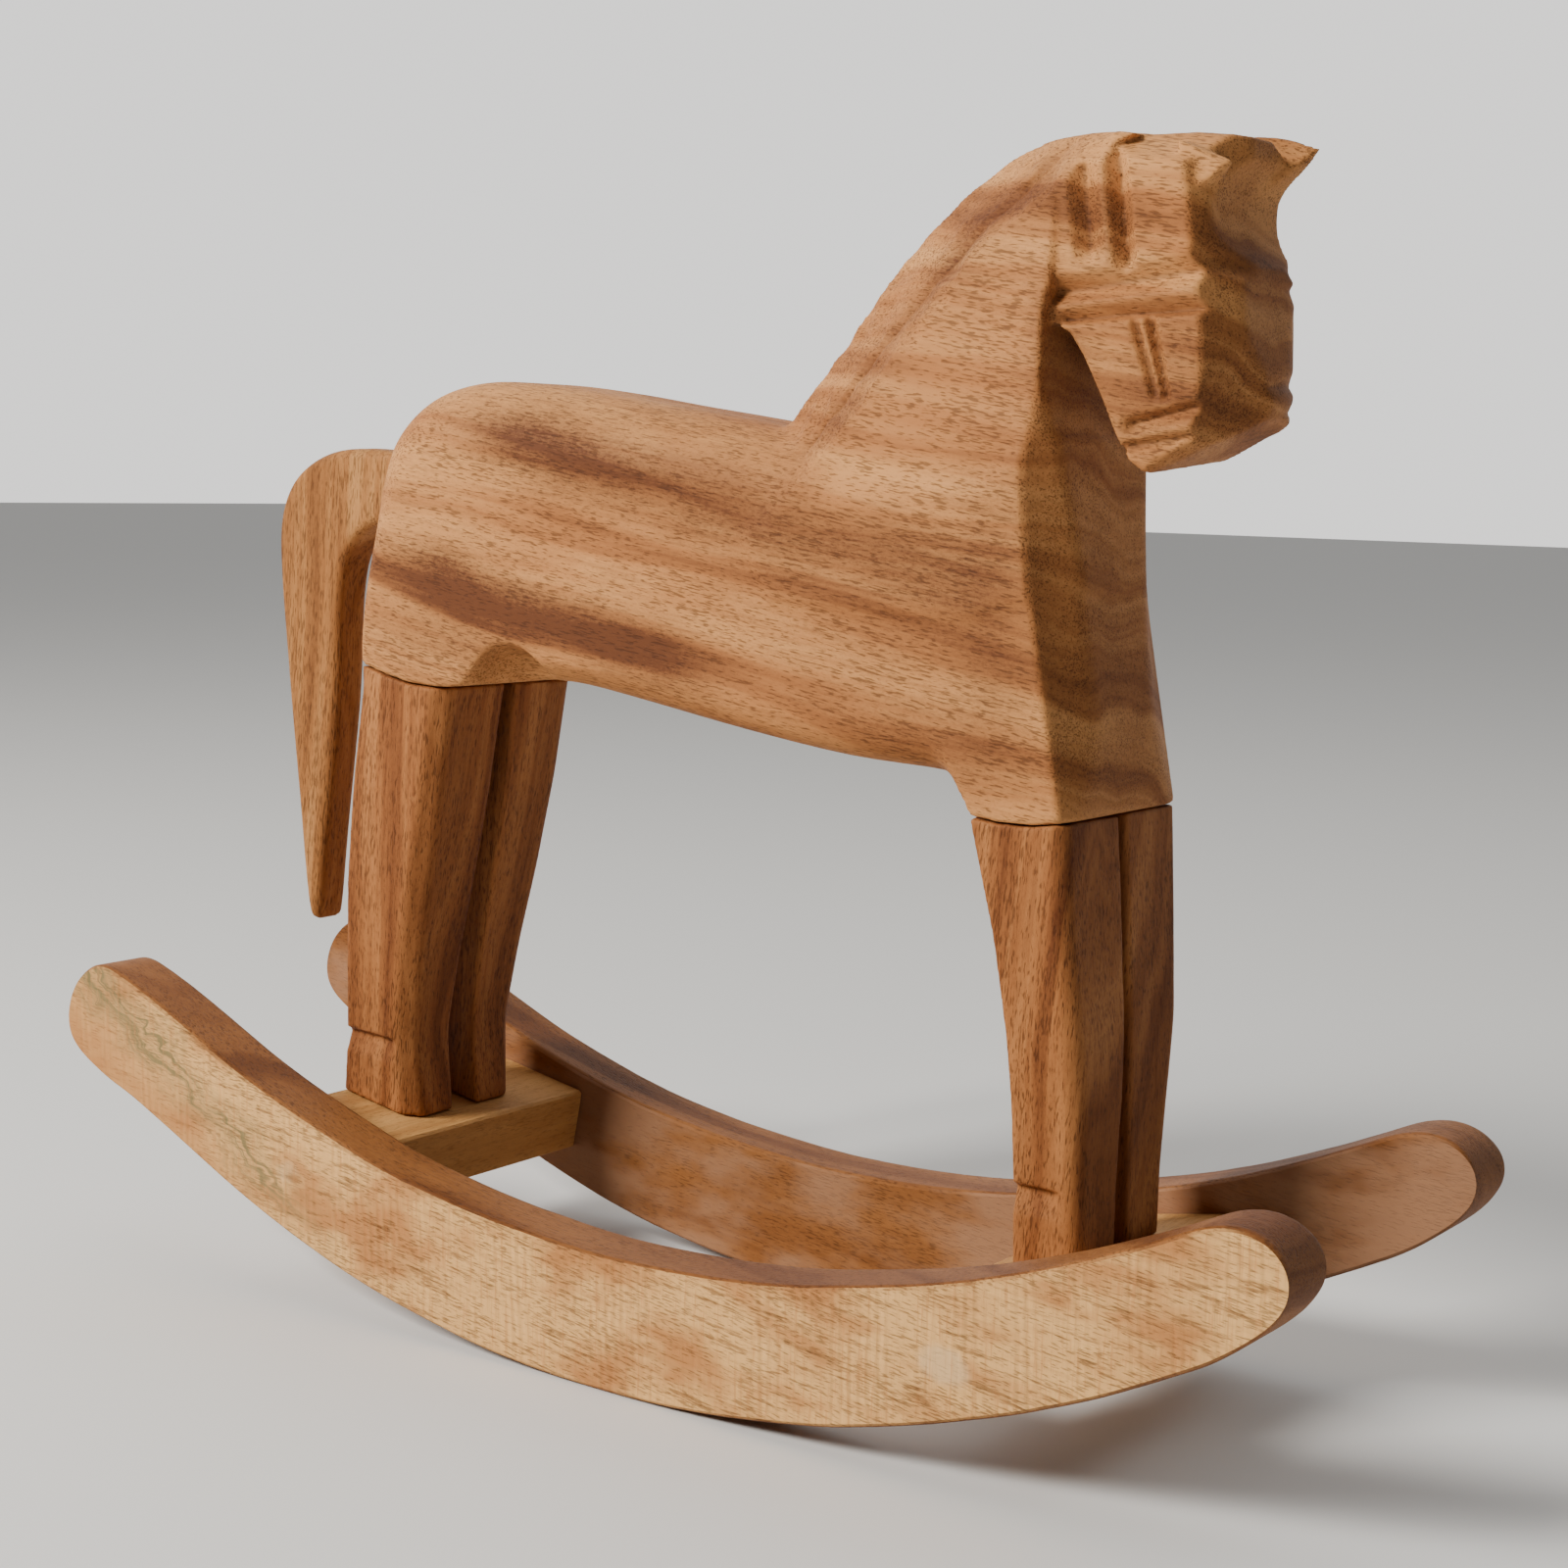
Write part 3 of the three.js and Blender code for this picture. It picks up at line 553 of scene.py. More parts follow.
def carve(
    name: str,
    rule: FieldRule,
    low: Point3,
    high: Point3,
    step: float,
    finish: Finish,
    fine: tuple[float | None, float | None, float | None] = (None, None, None),
) -> Piece:
    """Turns a distance field into a closed mesh.

    Args:
        name: the piece's name.
        rule: the field, in the bench frame, negative inside the wood.
        low: lowest corner of the space that holds the piece, in millimetres.
        high: its highest corner.
        step: spacing of the samples.
        finish: the piece's material.
        fine: where the finer samples start along each axis, or None.

    Returns:
        The piece, in the row frame.
    """
    axes = [samples(a, b, step, f) for a, b, f in zip(low, high, fine)]
    x, y, z = (axis.reshape([-1 if i == k else 1 for i in range(3)]) for k, axis in enumerate(axes))
    values = np.ascontiguousarray(np.broadcast_to(rule(x, y, z), [len(a) for a in axes]), np.float32)
    band = 4 * step
    grid = openvdb.FloatGrid(background=float(band))
    grid.copyFromArray(np.clip(values, -band, band))
    points, quads = grid.convertToQuads(isovalue=0.0)
    points = np.stack([np.interp(points[:, k], np.arange(len(a)), a) for k, a in enumerate(axes)], 1)
    corners = points[quads]
    across = np.cross(corners[:, 2] - corners[:, 0], corners[:, 3] - corners[:, 1])
    volume = float((corners.mean(1) * across).sum())
    if volume < 0:
        quads = quads[:, ::-1]
    LOG.info("%s: %d faces", name, len(quads))
    return make_piece(name, to_floor(points), quads, finish)


# ---------------------------------------------------------------- the carved block


@dataclass
class CarvedBody:
    """The horse's barrel, neck and head, carved from one block.

    Args:
        sizes: sizes of the block.
        grain: unevenness that the knife left.
    """

    sizes: BodySizes
    grain: Grain = field(default_factory=lambda: Grain(11))

    CHEEK = (
        Cut((69.5, 173.8), (97.5, 176.3), 2.1, 2.4, 2.5, 4.0),
        Cut((72.5, 169.8), (98.5, 170.6), 1.7, 2.1, 0.9, 2.0),
        Cut((75.4, 194.5), (77.2, 178.8), 2.1, 3.4, 2.2, 3.5),
        Cut((81.2, 195.5), (83.4, 176.6), 2.3, 2.5, 1.8, 3.0),
        Cut((85.0, 169.6), (88.9, 158.0), 1.3, 1.2, 0.8, 1.5),
        Cut((87.6, 169.8), (90.4, 157.8), 1.7, 1.3, 1.2, 1.5),
        Cut((84.0, 154.4), (99.0, 157.6), 1.6, 0.9, 2.2, 1.5),
        Cut((83.5, 151.2), (101.0, 153.4), 1.4, 0.8, 1.9, 1.5),
    )
    MANE = (
        Cut((26.0, 150.0), (50.0, 178.0), 0.8, 0.9, 1.4, 8.0),
        Cut((48.0, 175.6), (70.0, 194.6), 0.8, 0.9, 1.4, 8.0),
        Cut((29.0, 143.0), (54.0, 173.4), 0.5, 0.9, 0.6, 6.0),
        Cut((53.0, 172.6), (72.0, 189.6), 0.5, 0.9, 0.6, 6.0),
    )
    FACE = (
        Cut((-13.5, 178.3), (13.5, 178.6), 1.3, 1.2, 2.0, 1.0),
        Cut((-12.5, 173.9), (13.5, 174.6), 1.2, 1.4, 2.4, 2.0),
        Cut((-9.0, 159.4), (13.5, 160.4), 0.9, 2.2, 1.4, 3.0),
        Cut((-11.0, 154.8), (13.5, 156.4), 0.9, 1.6, 1.2, 2.5),
    )

    EARS = (
        EarSizes((102.8, 12.0, 195.0), 187.6, 97.0, 84.0, 1.0),
        EarSizes((99.4, -10.2, 191.2), 188.0, 86.0, 91.0, -1.0),
    )
    LOW = (-70.5, -20.4, 93.6)
    HIGH = (105.6, 20.4, 200.4)
    FINE = (66.0, None, 150.0)

    def barrel(self, x: Values, y: Values, z: Values) -> Values:
        """Returns the field of the barrel, from rump to chest."""
        s = self.sizes
        outline = [
            *through(s.crown),
            *through(s.chest)[8:-1],
            *reversed(s.front_joint),
            *through(s.belly[:6], 4)[1:],
            *through(s.belly[5:], 4)[:-1],
            *reversed(s.hind_joint),
        ]
        profile = outline_distance(x, z, outline)
        ease = 0.8 + 12.0 * smooth_step(116, 156, z) * smooth_step(74, 60, x)
        under = smooth_step(-46, -38, x) * smooth_step(61, 53, x) * smooth_step(124, 112, z)
        ease = np.maximum(ease, 7.0 * under)
        side = np.abs(y)
        lump = 0.35 * self.grain.at(x, 0 * y, z, (34, 10, 16))
        shape = both(profile, side - s.half + lump, ease)
        nick_x, nick_y, nick_z = s.nick
        away = np.sqrt((x - nick_x) ** 2 + ((side - nick_y) * 0.8) ** 2 + (z - nick_z) ** 2)
        return both(shape, s.nick_radius - away, 0.9)

    def chest(self, x: Values, y: Values, z: Values) -> Values:
        """Returns how far a point is beyond the cut-away corners of the chest."""
        side = np.abs(y)
        keep = (0.0, 0.0, 130.0)
        upper = beyond(x, side, z, (69.6, 18.5, 139.0), (70.9, 18.5, 170.0), (75.6, 10.5, 139.0), keep)
        lower = beyond(x, side, z, (69.6, 18.5, 139.0), (77.0, 18.5, 95.0), (78.0, 8.0, 112.0), keep)
        return either(upper, lower, 3.0) - 9.0 * smooth_step(168, 174, z)

    def mane(self, x: Values, y: Values, z: Values) -> Values:
        """Returns how far a point is beyond the mane's sloping sides, which still show the knife."""
        side = np.abs(y)
        keep = (60.0, 0.0, 150.0)
        low = beyond(x, side, z, (33.6, 18.3, 150.4), (53.6, 14.6, 174.4), (36.8, 2.2, 179.6), keep)
        high = beyond(x, side, z, (62.2, 13.4, 184.2), (77.5, 13.0, 192.2), (58.6, 2.2, 195.8), keep)
        knife = 1.0 * np.abs(self.grain.at(x, y, z, (5, 9, 5))) - 0.15
        return both(low, high, 1.0) + knife + carved(x, z, self.MANE)

    def neck(self, x: Values, y: Values, z: Values) -> Values:
        """Returns the field of the neck, with the mane's sloping sides."""
        s = self.sizes
        side = np.abs(y)
        throat = [(72.4, 191.0), (72.0, 176.0), (71.2, 170.8), *through(s.chest)[4:18]]
        inside = [(60.0, 126.0), (24.0, 128.0)]
        profile = outline_distance(x, z, [*through(s.crest), *throat, *inside])
        taper = math.atan2(s.half - s.head_half, 34.0)
        sloping = (side - s.half) * math.cos(taper) + (z - 150.0) * math.sin(taper)
        lump = 0.3 * self.grain.at(x, 0 * y, z, (13, 10, 11))
        upper = side - s.head_half
        flank = both(side - s.half, either(sloping, upper, 1.5), 0.6) + lump * smooth_step(182, 168, z)
        return both(both(profile, flank, 0.8), self.mane(x, y, z), 0.25)

    def head(self, x: Values, y: Values, z: Values) -> Values:
        """Returns the field of the head, with its bridle cuts."""
        s = self.sizes
        side = np.abs(y)
        far = smooth_step(-2, 5, y)
        tilt = 0.09 * (y + 8.0) * smooth_step(168, 154, z)
        profile = outline_distance(x, z - tilt, list(s.skull))
        front = x - s.face_x + s.face_bow * y * y + carved(y, z, self.FACE)
        front = front + 0.35 * self.grain.at(0 * x, y, z, (9, 30, 4.2))
        cheek = side - s.head_half + carved(x, z, self.CHEEK)
        cheek = cheek + 0.12 * self.grain.at(x, 0 * y, z, (6, 6, 5))
        shape = both(both(profile, front, 0.5), cheek, 0.35)
        keep = (80.0, 0.0, 170.0)
        lens = beyond(x, side, z, (95.9, 13.0, 163.5), (95.6, 13.0, 169.0), (99.6, 7.4, 164.0), keep)
        lens = lens - 0.025 * (z - 163.0) ** 2
        edge = beyond(x, side, z, (97.2, 13.0, 158.0), (94.7, 13.0, 177.0), (99.3, 7.0, 168.0), keep)
        chin = beyond(x, side, z, (101.0, 13.0, 156.5), (90.0, 13.0, 149.4), (101.0, 3.0, 151.6), keep)
        lens = both(both(lens, edge, 0.3), chin, 0.8) - 4.6 * far
        brow = beyond(x, side, z, (80.0, 13.0, 193.4), (96.6, 13.0, 190.6), (86.0, 6.0, 197.0), keep)
        corner = beyond(x, side, z, (94.0, 13.0, 177.0), (96.8, 13.0, 190.6), (98.2, 4.0, 180.0), keep)
        corner = corner - 5.0 * smooth_step(178, 171, z) - 2.9 * far
        shape = both(shape, lens, 0.4)
        shape = both(shape, both(brow, corner, 0.4), 0.4)
        hollow = s.brow_radius - np.hypot(x - s.brow[0], z - s.brow[1])
        return both(both(shape, hollow, 0.5), self.mane(x, y, z), 0.25)

    def ear(self, x: Values, y: Values, z: Values, ear: EarSizes) -> Values:
        """Returns the field of one ear, which points forward over the brow."""
        tx, ty, tz = ear.tip
        out = ear.out
        keep = (88.0, ty - out * 2.5, tz - 1.2)
        top = beyond(x, y, z, ear.tip, (ear.knee_x, ty, 197.0), (ear.knee_x, ty - 4, 197.0), keep)
        top = both(top, z - self.sizes.mane_top, 0.8)
        under = beyond(x, y, z, ear.tip, (95.0, ty, ear.root_z), (95.0, ty - 4, ear.root_z), keep)
        inner = (tx, ty - out * 0.6, tz), (86.0, ty - out * 8.5, 190.0), (86.0, ty - out * 6.0, 197.0)
        outer = (tx, ty + out * 0.3, tz), (92.0, ty + out * 1.2, 190.0), (92.0, ty + out * 0.4, 197.0)
        sides = both(beyond(x, y, z, *inner, keep), beyond(x, y, z, *outer, keep), 0.3)
        return both(both(top, under, 0.3), both(sides, ear.rear_x - x, 0.3), 0.3)

    def rule(self, x: Values, y: Values, z: Values) -> Values:
        """Returns the field of the whole block."""
        trunk = either(self.barrel(x, y, z), self.neck(x, y, z), 2.2)
        trunk = both(trunk, self.chest(x, y, z), 0.8)
        ears = np.minimum(*(self.ear(x, y, z, ear) for ear in self.EARS))
        head = either(self.head(x, y, z), ears, 0.6)
        return either(trunk, head, 0.8)

    def build(self, finish: Finish) -> Piece:
        """Returns the carved block as a piece."""
        return carve("carved_body", self.rule, self.LOW, self.HIGH, BODY_STEP, finish, self.FINE)


@dataclass
class CarvedLegs:
    """A pair of legs, glued up under the body and standing on a slat.

    Args:
        sizes: sizes of a leg.
        slat: the slat under the feet.
        rocker: sizes of the rockers that hold the slat.
    """

    REACH = 20.0

    sizes: LegSizes
    slat: SlatSizes
    rocker: RockerSizes

    def levels(self, z: Values) -> list[Values]:
        """Returns the rear, front, outer and inner sides at a height."""
        stations = sorted(self.sizes.stations, key=lambda s: s.z)
        heights = [s.z for s in stations]
        fine = np.linspace(heights[0], heights[-1], 160)
        out = []
        for name in ("rear", "front", "outer", "inner"):
            rough = np.interp(fine, heights, [getattr(s, name) for s in stations])
            weights = np.hanning(21)[1:-1]
            padded = np.pad(rough, len(weights) // 2, "reflect", reflect_type="odd")
            smooth = np.convolve(padded, weights / weights.sum(), "valid")
            out.append(np.interp(z, fine, smooth))
        return out

    def rule(self, side: Side, seed: int) -> FieldRule:
        """Returns the field of the leg on one side."""
        s = self.sizes
        grain = Grain(seed)
        line_x, line_z = (np.array(values) for values in zip(*s.joint))

        def leg(x: Values, y: Values, z: Values) -> Values:
            """Returns the field at some places."""
            rear, front, outer, inner = self.levels(z)
            across = y * side.value
            lump = 0.25 * grain.at(x, y, z, (9, 9, 22))
            back = rear - x + lump
            ahead = x - front + lump
            cheek = across - outer + carved(x, z, [Cut(*s.hoof, s.knife, 0.7, 4.2, 2.0)])
            facet = (ahead + across - outer + s.chamfer) / math.sqrt(2)
            wall = both(both(back, ahead, 0.9), both(cheek, inner - across, 0.9), 0.7)
            wall = both(wall, facet, 0.7)
            lean = math.tan(self.slat.lean(self.rocker))
            foot = self.slat.top_at(self.rocker, self.slat.x) + GLUE_GAP + (x - self.slat.x) * lean - z
            top = np.interp(x, line_x, line_z) - GLUE_GAP - 0.25 * np.abs(grain.at(x, y, 0 * z, 2.5))
            return both(both(wall, foot, 0.5), z - top, 0.25)

        return leg

    def build(self, finish: Finish) -> list[Piece]:
        """Returns the right and left legs."""
        s = self.sizes
        rear, front = min(t.rear for t in s.stations) - 2, max(t.front for t in s.stations) + 2
        foot, top = min(t.z for t in s.stations) - 6, max(z for _, z in s.joint) + 1.5
        pieces = []
        for seed, side in enumerate(Side, start=s.seed):
            near, far = sorted((side.value * -0.5, side.value * self.REACH))
            name = f"carved_{s.name}_{side.label}"
            low, high = (rear, near, foot), (front, far, top)
            pieces.append(carve(name, self.rule(side, seed), low, high, SMALL_STEP, finish))
        return pieces


@dataclass
class CarvedTail:
    """The tail board, standing out behind the rump."""

    sizes: TailSizes

    def rule(self, x: Values, y: Values, z: Values) -> Values:
        """Returns the field of the tail."""
        s = self.sizes
        profile = outline_distance(x, z, through(s.outline, 4))
        lump = 0.3 * Grain(41).at(x, y, z, (12, 9, 24)) * smooth_step(-69, -74, x)
        ease = s.round * smooth_step(-69, -76, x) + 0.4
        return both(profile + lump, np.abs(y) - s.half, ease)

    def build(self, finish: Finish) -> Piece:
        """Returns the tail as a piece."""
        low, high = (-106.0, -5.4, 61.0), (-66.0, 5.4, 155.5)
        return carve("carved_tail", self.rule, low, high, SMALL_STEP, finish)


# ---------------------------------------------------------------- formulas in node trees


@dataclass(frozen=True)
class Term:
    """A value in a node tree. Arithmetic on it adds the nodes that work it out."""

    tree: bpy.types.NodeTree
    socket: bpy.types.NodeSocket

    def maths(self, operation: str, *others: "Term | float") -> "Term":
        """Returns the result of one arithmetic node."""
        node = self.tree.nodes.new("ShaderNodeMath")
        node.operation = operation
        for slot, value in zip(node.inputs, (self, *others)):
            plug(value, slot)
        return Term(self.tree, node.outputs[0])

    def __add__(self, other: "Term | float") -> "Term":
        """Returns the sum."""
        return self.maths("ADD", other)

    def __radd__(self, other: float) -> "Term":
        """Returns the sum."""
        return self.maths("ADD", other)

    def __sub__(self, other: "Term | float") -> "Term":
        """Returns the difference."""
        return self.maths("SUBTRACT", other)

    def __rsub__(self, other: float) -> "Term":
        """Returns what is left of the other after taking this away."""
        return (self * -1.0) + other

    def __mul__(self, other: "Term | float") -> "Term":
        """Returns the product."""
        return self.maths("MULTIPLY", other)

    def __rmul__(self, other: float) -> "Term":
        """Returns the product."""
        return self.maths("MULTIPLY", other)

    def __truediv__(self, other: "Term | float") -> "Term":
        """Returns the quotient."""
        return self.maths("DIVIDE", other)

    def __pow__(self, other: "Term | float") -> "Term":
        """Returns the power."""
        return self.maths("POWER", other)

    def clip(self, low: float = 0.0, high: float = 1.0) -> "Term":
        """Returns the value kept between two limits."""
        return self.maths("MAXIMUM", low).maths("MINIMUM", high)

    def between(self, low: "Term | float", high: "Term | float") -> "Term":
        """Returns 0 at low and 1 at high, with an easy curve between."""
        node = self.tree.nodes.new("ShaderNodeMapRange")
        node.interpolation_type = "SMOOTHSTEP"
        plug(self, node.inputs["Value"])
        plug(low, node.inputs["From Min"])
        plug(high, node.inputs["From Max"])
        return Term(self.tree, node.outputs[0])


def plug(value: Term | float | Sequence[float], slot: bpy.types.NodeSocket) -> None:
    """Joins a term to an input, or sets a plain number on it."""
    if isinstance(value, Term):
        value.tree.links.new(value.socket, slot)
    else:
        slot.default_value = value


def split(tree: bpy.types.NodeTree, vector: Term) -> tuple[Term, Term, Term]:
    """Returns a vector's three parts."""
    node = tree.nodes.new("ShaderNodeSeparateXYZ")
    plug(vector, node.inputs[0])
    return tuple(Term(tree, out) for out in node.outputs)


def joined(tree: bpy.types.NodeTree, *parts: Term | float) -> Term:
    """Returns a vector made of three parts."""
    node = tree.nodes.new("ShaderNodeCombineXYZ")
    for slot, part in zip(node.inputs, parts):
        plug(part, slot)
    return Term(tree, node.outputs[0])


def shade(colour: Colour, share: float) -> Colour:
    """Returns a colour made darker."""
    return tuple(part * share for part in colour)


def noise(
    tree: bpy.types.NodeTree, at: Term, scale: float, detail: float = 2.0, rough: float = 0.5
) -> Term:
    """Returns smooth noise from 0 to 1."""
    node = tree.nodes.new("ShaderNodeTexNoise")
    node.noise_dimensions = "3D"
    plug(at, node.inputs["Vector"])
    plug(scale, node.inputs["Scale"])
    plug(detail, node.inputs["Detail"])
    plug(rough, node.inputs["Roughness"])
    return Term(tree, node.outputs[0])


# ---------------------------------------------------------------- finishes


@dataclass(frozen=True)
class Streak:
    """A streak of dark heartwood or pale sapwood, along a line in the XZ plane.

    Args:
        start: one end of the line, in bench millimetres.
        end: its other end.
        width: half width of the streak.
        strength: how dark it is, up to 1, or below 0 for a pale one.
    """

    start: Point2
    end: Point2
    width: float
    strength: float


@dataclass(frozen=True)
class WoodFinish:
    """How one kind of wood looks.

    Args:
        name: the material's name.
        pale: colour of the lightest wood.
        warm: its usual colour.
        deep: colour of the dark streaks and late wood.
        turn: Euler angles in degrees that bring the grain's direction to X.
        pith: offset of the log's middle from the piece, across the grain, in millimetres.
        ring: spacing of the growth bands, in millimetres.
        contrast: strength of the bands.
        pores: strength of the short dark pores.
        pore_length: length of a pore, in millimetres.
        mottle: strength of the large blotches.
        gloss: lowest and highest roughness.
        streaks: dark streaks at known places.
        relief: height of the fine relief, in millimetres.
    """

    name: str
    pale: Colour
    warm: Colour
    deep: Colour
    turn: Point3
    pith: Point2 = (38.0, 22.0)
    ring: float = 9.0
    contrast: float = 0.5
    pores: float = 0.6
    pore_length: float = 2.0
    mottle: float = 0.5
    gloss: Point2 = (0.58, 0.74)
    streaks: tuple[Streak, ...] = ()
    relief: float = 0.05


@dataclass(frozen=True)
class SawnFinish:
    """The pale, unpolished side that a band saw leaves on a board.

    Args:
        pale: colour of the sawn face.
        rose: colour of its warmer patches.
        stain: colour of the weathered stain at the rear tip.
        inner: colour of the board's other face.
        smear: colour of the filler wiped over the nail holes.
        smears: place, size and strength of each smear, in bench millimetres.
        knots: place and size of each small knot.
        pitch: spacing of the saw's marks, in millimetres.
        depth: their height, in millimetres.
    """

    pale: Colour
    rose: Colour
    stain: Colour
    inner: Colour
    smear: Colour = (0.72, 0.47, 0.23)
    smears: tuple[tuple[Point2, float, float], ...] = (
        ((70.5, 17.6), 5.2, 0.85),
        ((-66.5, 25.5), 3.6, 0.4),
    )
    knots: tuple[tuple[Point2, float], ...] = (((-64.9, 24.7), 2.2),)
    pitch: float = 1.7
    depth: float = 0.07


def floor_place(spot: Point2) -> Point2:
    """Returns a place in the bench frame's XZ plane as the row frame has it, in millimetres."""
    moved = REST.matrix() @ Vector((spot[0], 0, spot[1]))
    return moved.x, moved.z


class WoodShader:
    """Builds the shader of one wood finish."""

    HOLLOW = (0.495, 0.44)  # pointiness at which the painted shade in a hollow starts and ends darkening
    WORN = (0.515, 0.60)  # pointiness at which an edge starts and ends paling
    # strength of the painted shade laid into the hollows and knife cuts
    DUST = 0.45
    WEAR = 0.35
    SHEEN = 0.14
    SAWN_ROUGHER = 0.18

    def __init__(self, finish: WoodFinish, sawn: SawnFinish | None = None) -> None:
        """Starts an empty material for a finish, with or without a sawn face."""
        self.finish = finish
        self.sawn = sawn
        self.material = bpy.data.materials.new(finish.name)
        self.material.use_nodes = True
        self.tree = self.material.node_tree
        self.tree.nodes.clear()

    def node(self, kind: str) -> bpy.types.Node:
        """Returns a new node in the tree."""
        return self.tree.nodes.new(kind)

    def colour(self, value: Colour) -> Term:
        """Returns a fixed colour."""
        node = self.node("ShaderNodeRGB")
        node.outputs[0].default_value = (*value, 1.0)
        return Term(self.tree, node.outputs[0])

    def mix(self, amount: Term | float, a: Term, b: Term, blend: str = "MIX") -> Term:
        """Returns colour a turned towards colour b by an amount."""
        node = self.node("ShaderNodeMix")
        node.data_type = "RGBA"
        node.blend_type = blend
        plug(amount, node.inputs["Factor"])
        plug(a, [s for s in node.inputs if s.name == "A" and s.type == "RGBA"][0])
        plug(b, [s for s in node.inputs if s.name == "B" and s.type == "RGBA"][0])
        return Term(self.tree, [s for s in node.outputs if s.type == "RGBA"][0])

    def scaled(self, at: Term, factors: Point3) -> Term:
        """Returns a position stretched along its axes."""
        parts = split(self.tree, at)
        return joined(self.tree, *(part * factor for part, factor in zip(parts, factors)))

    def cloud(self, at: Term, factors: Point3, detail: float = 2.0, rough: float = 0.5) -> Term:
        """Returns smooth noise from 0 to 1, stretched along the axes."""
        return noise(self.tree, self.scaled(at, factors), 1.0, detail, rough)

    def position(self) -> Term:
        """Returns the place on the piece, in millimetres of the row frame."""
        node = self.node("ShaderNodeTexCoord")
        return self.scaled(Term(self.tree, node.outputs["Object"]), (1 / MM, 1 / MM, 1 / MM))

    def turned(self, at: Term, angles: Point3) -> Term:
        """Returns a position turned so that the grain runs along X."""
        node = self.node("ShaderNodeMapping")
        plug(at, node.inputs["Vector"])
        plug([math.radians(a) for a in angles], node.inputs["Rotation"])
        return Term(self.tree, node.outputs[0])

    def streak(self, at: Term, streak: Streak, wander: Term) -> Term:
        """Returns how strongly a streak shows at a place."""
        (ax, az), (bx, bz) = floor_place(streak.start), floor_place(streak.end)
        length = math.hypot(bx - ax, bz - az)
        ux, uz = (bx - ax) / length, (bz - az) / length
        x, _, z = split(self.tree, at)
        along = (x - ax) * ux + (z - az) * uz
        across = (z - az) * ux - (x - ax) * uz + wander * (streak.width * 1.6)
        core = ((across / streak.width) ** 2.0 * -1.0).maths("EXPONENT")
        fade = (-streak.width * 2.5, streak.width * 2)
        return core * along.between(*fade) * (length - along).between(*fade) * streak.strength

    def build(self) -> Finish:
        """Returns the finished material."""
        f = self.finish
        tree = self.tree
        at = self.position()
        grain = self.turned(at, f.turn)
        along, a, b = split(tree, grain)

        warp = self.cloud(grain, (0.012, 0.045, 0.045), 2.0) - 0.5
        radius = ((a + f.pith[0]) ** 2.0 + (b + f.pith[1]) ** 2.0).maths("SQRT") + warp * (f.ring * 1.8)
        rings = noise(tree, joined(tree, along * 0.004, radius / f.ring, 0.0), 1.0, 4.0, 0.62)
        fine = self.cloud(grain, (0.05, 1.3, 1.3), 3.0, 0.6)
        mottle = self.cloud(grain, (0.03, 0.07, 0.07), 3.0, 0.55)
        pore_at = self.scaled(grain, (1 / f.pore_length, 3.6, 3.6))
        crowd = self.cloud(grain, (0.05, 0.16, 0.16), 2.0).between(0.35, 0.65) * 0.07
        pores = (noise(tree, pore_at, 1.0, 1.5, 0.5) + crowd).between(0.565, 0.72)
        speckle = self.cloud(grain, (1.1, 2.6, 2.6), 3.0, 0.75)

        base = self.mix(rings.between(0.36, 0.62), self.colour(f.pale), self.colour(f.warm))
        base = self.mix((mottle.between(0.42, 0.68) * f.mottle), base, self.colour(f.warm))
        dark = (rings.between(0.50, 0.70) * f.contrast) + (fine.between(0.42, 0.74) * 0.55 * f.contrast)
        dark = dark + speckle.between(0.46, 0.76) * (0.5 * f.contrast)
        wander = self.cloud(at, (0.05, 0.02, 0.09), 3.0, 0.6) - 0.5
        grainy = 0.55 + 0.9 * speckle
        for streak in f.streaks:
            dark = dark + self.streak(at, streak, wander) * grainy
        base = self.mix(dark.clip(), base, self.colour(f.deep))
        base = self.mix((pores * f.pores).clip(), base, self.colour(shade(f.deep, 0.45)))

        relief = (fine - 0.5) * f.relief - pores * (f.relief * 1.2) + (speckle - 0.5) * (f.relief * 0.5)
        rough = rings * (f.gloss[1] - f.gloss[0]) + f.gloss[0]
        if self.sawn is not None:
            base, relief, rough = self.sawn_face(at, grain, base, relief, rough, pores, fine)
        base = self.hollows(base)

        bump = self.node("ShaderNodeBump")
        plug(1.0, bump.inputs["Strength"])
        plug(MM, bump.inputs["Distance"])
        plug(relief, bump.inputs["Height"])
        surface = self.node("ShaderNodeBsdfPrincipled")
        plug(base, surface.inputs["Base Color"])
        plug(rough, surface.inputs["Roughness"])
        surface.inputs["Specular IOR Level"].default_value = self.SHEEN
        tree.links.new(bump.outputs[0], surface.inputs["Normal"])
        out = self.node("ShaderNodeOutputMaterial")
        tree.links.new(surface.outputs[0], out.inputs[0])
        return self.material

    def hollows(self, base: Term) -> Term:
        """Returns the colour with painted shade darkening the cuts and hollows, and worn edges a little
        paler.
        """
        node = self.node("ShaderNodeNewGeometry")
        point = Term(self.tree, node.outputs["Pointiness"])
        # painted shade: concave places (low pointiness) are darkened towards the deep colour, where shade
        # falls
        cut = point.between(*self.HOLLOW) * self.DUST
        edge = point.between(*self.WORN) * self.WEAR
        base = self.mix(cut, base, self.colour(shade(self.finish.deep, 0.4)))
        return self.mix(edge, base, self.colour(self.finish.pale))

    def sawn_face(
        self, at: Term, grain: Term, base: Term, relief: Term, rough: Term, pores: Term, fine: Term
    ) -> tuple[Term, Term, Term]:
        """Returns colour, relief and roughness with the sawn face laid over the board's outer side."""
        s = self.sawn
        tree = self.tree
        x, y, z = split(tree, at)
        node = self.node("ShaderNodeNewGeometry")
        _, ny, _ = split(tree, Term(tree, node.outputs["True Normal"]))
        creep = self.cloud(at, (0.12, 0.12, 0.2), 3.0) * 0.25
        outer = (ny * y.maths("SIGN") - creep).between(0.45, 0.7)
        inner = (ny * y.maths("SIGN") * -1.0 - creep).between(0.35, 0.65)

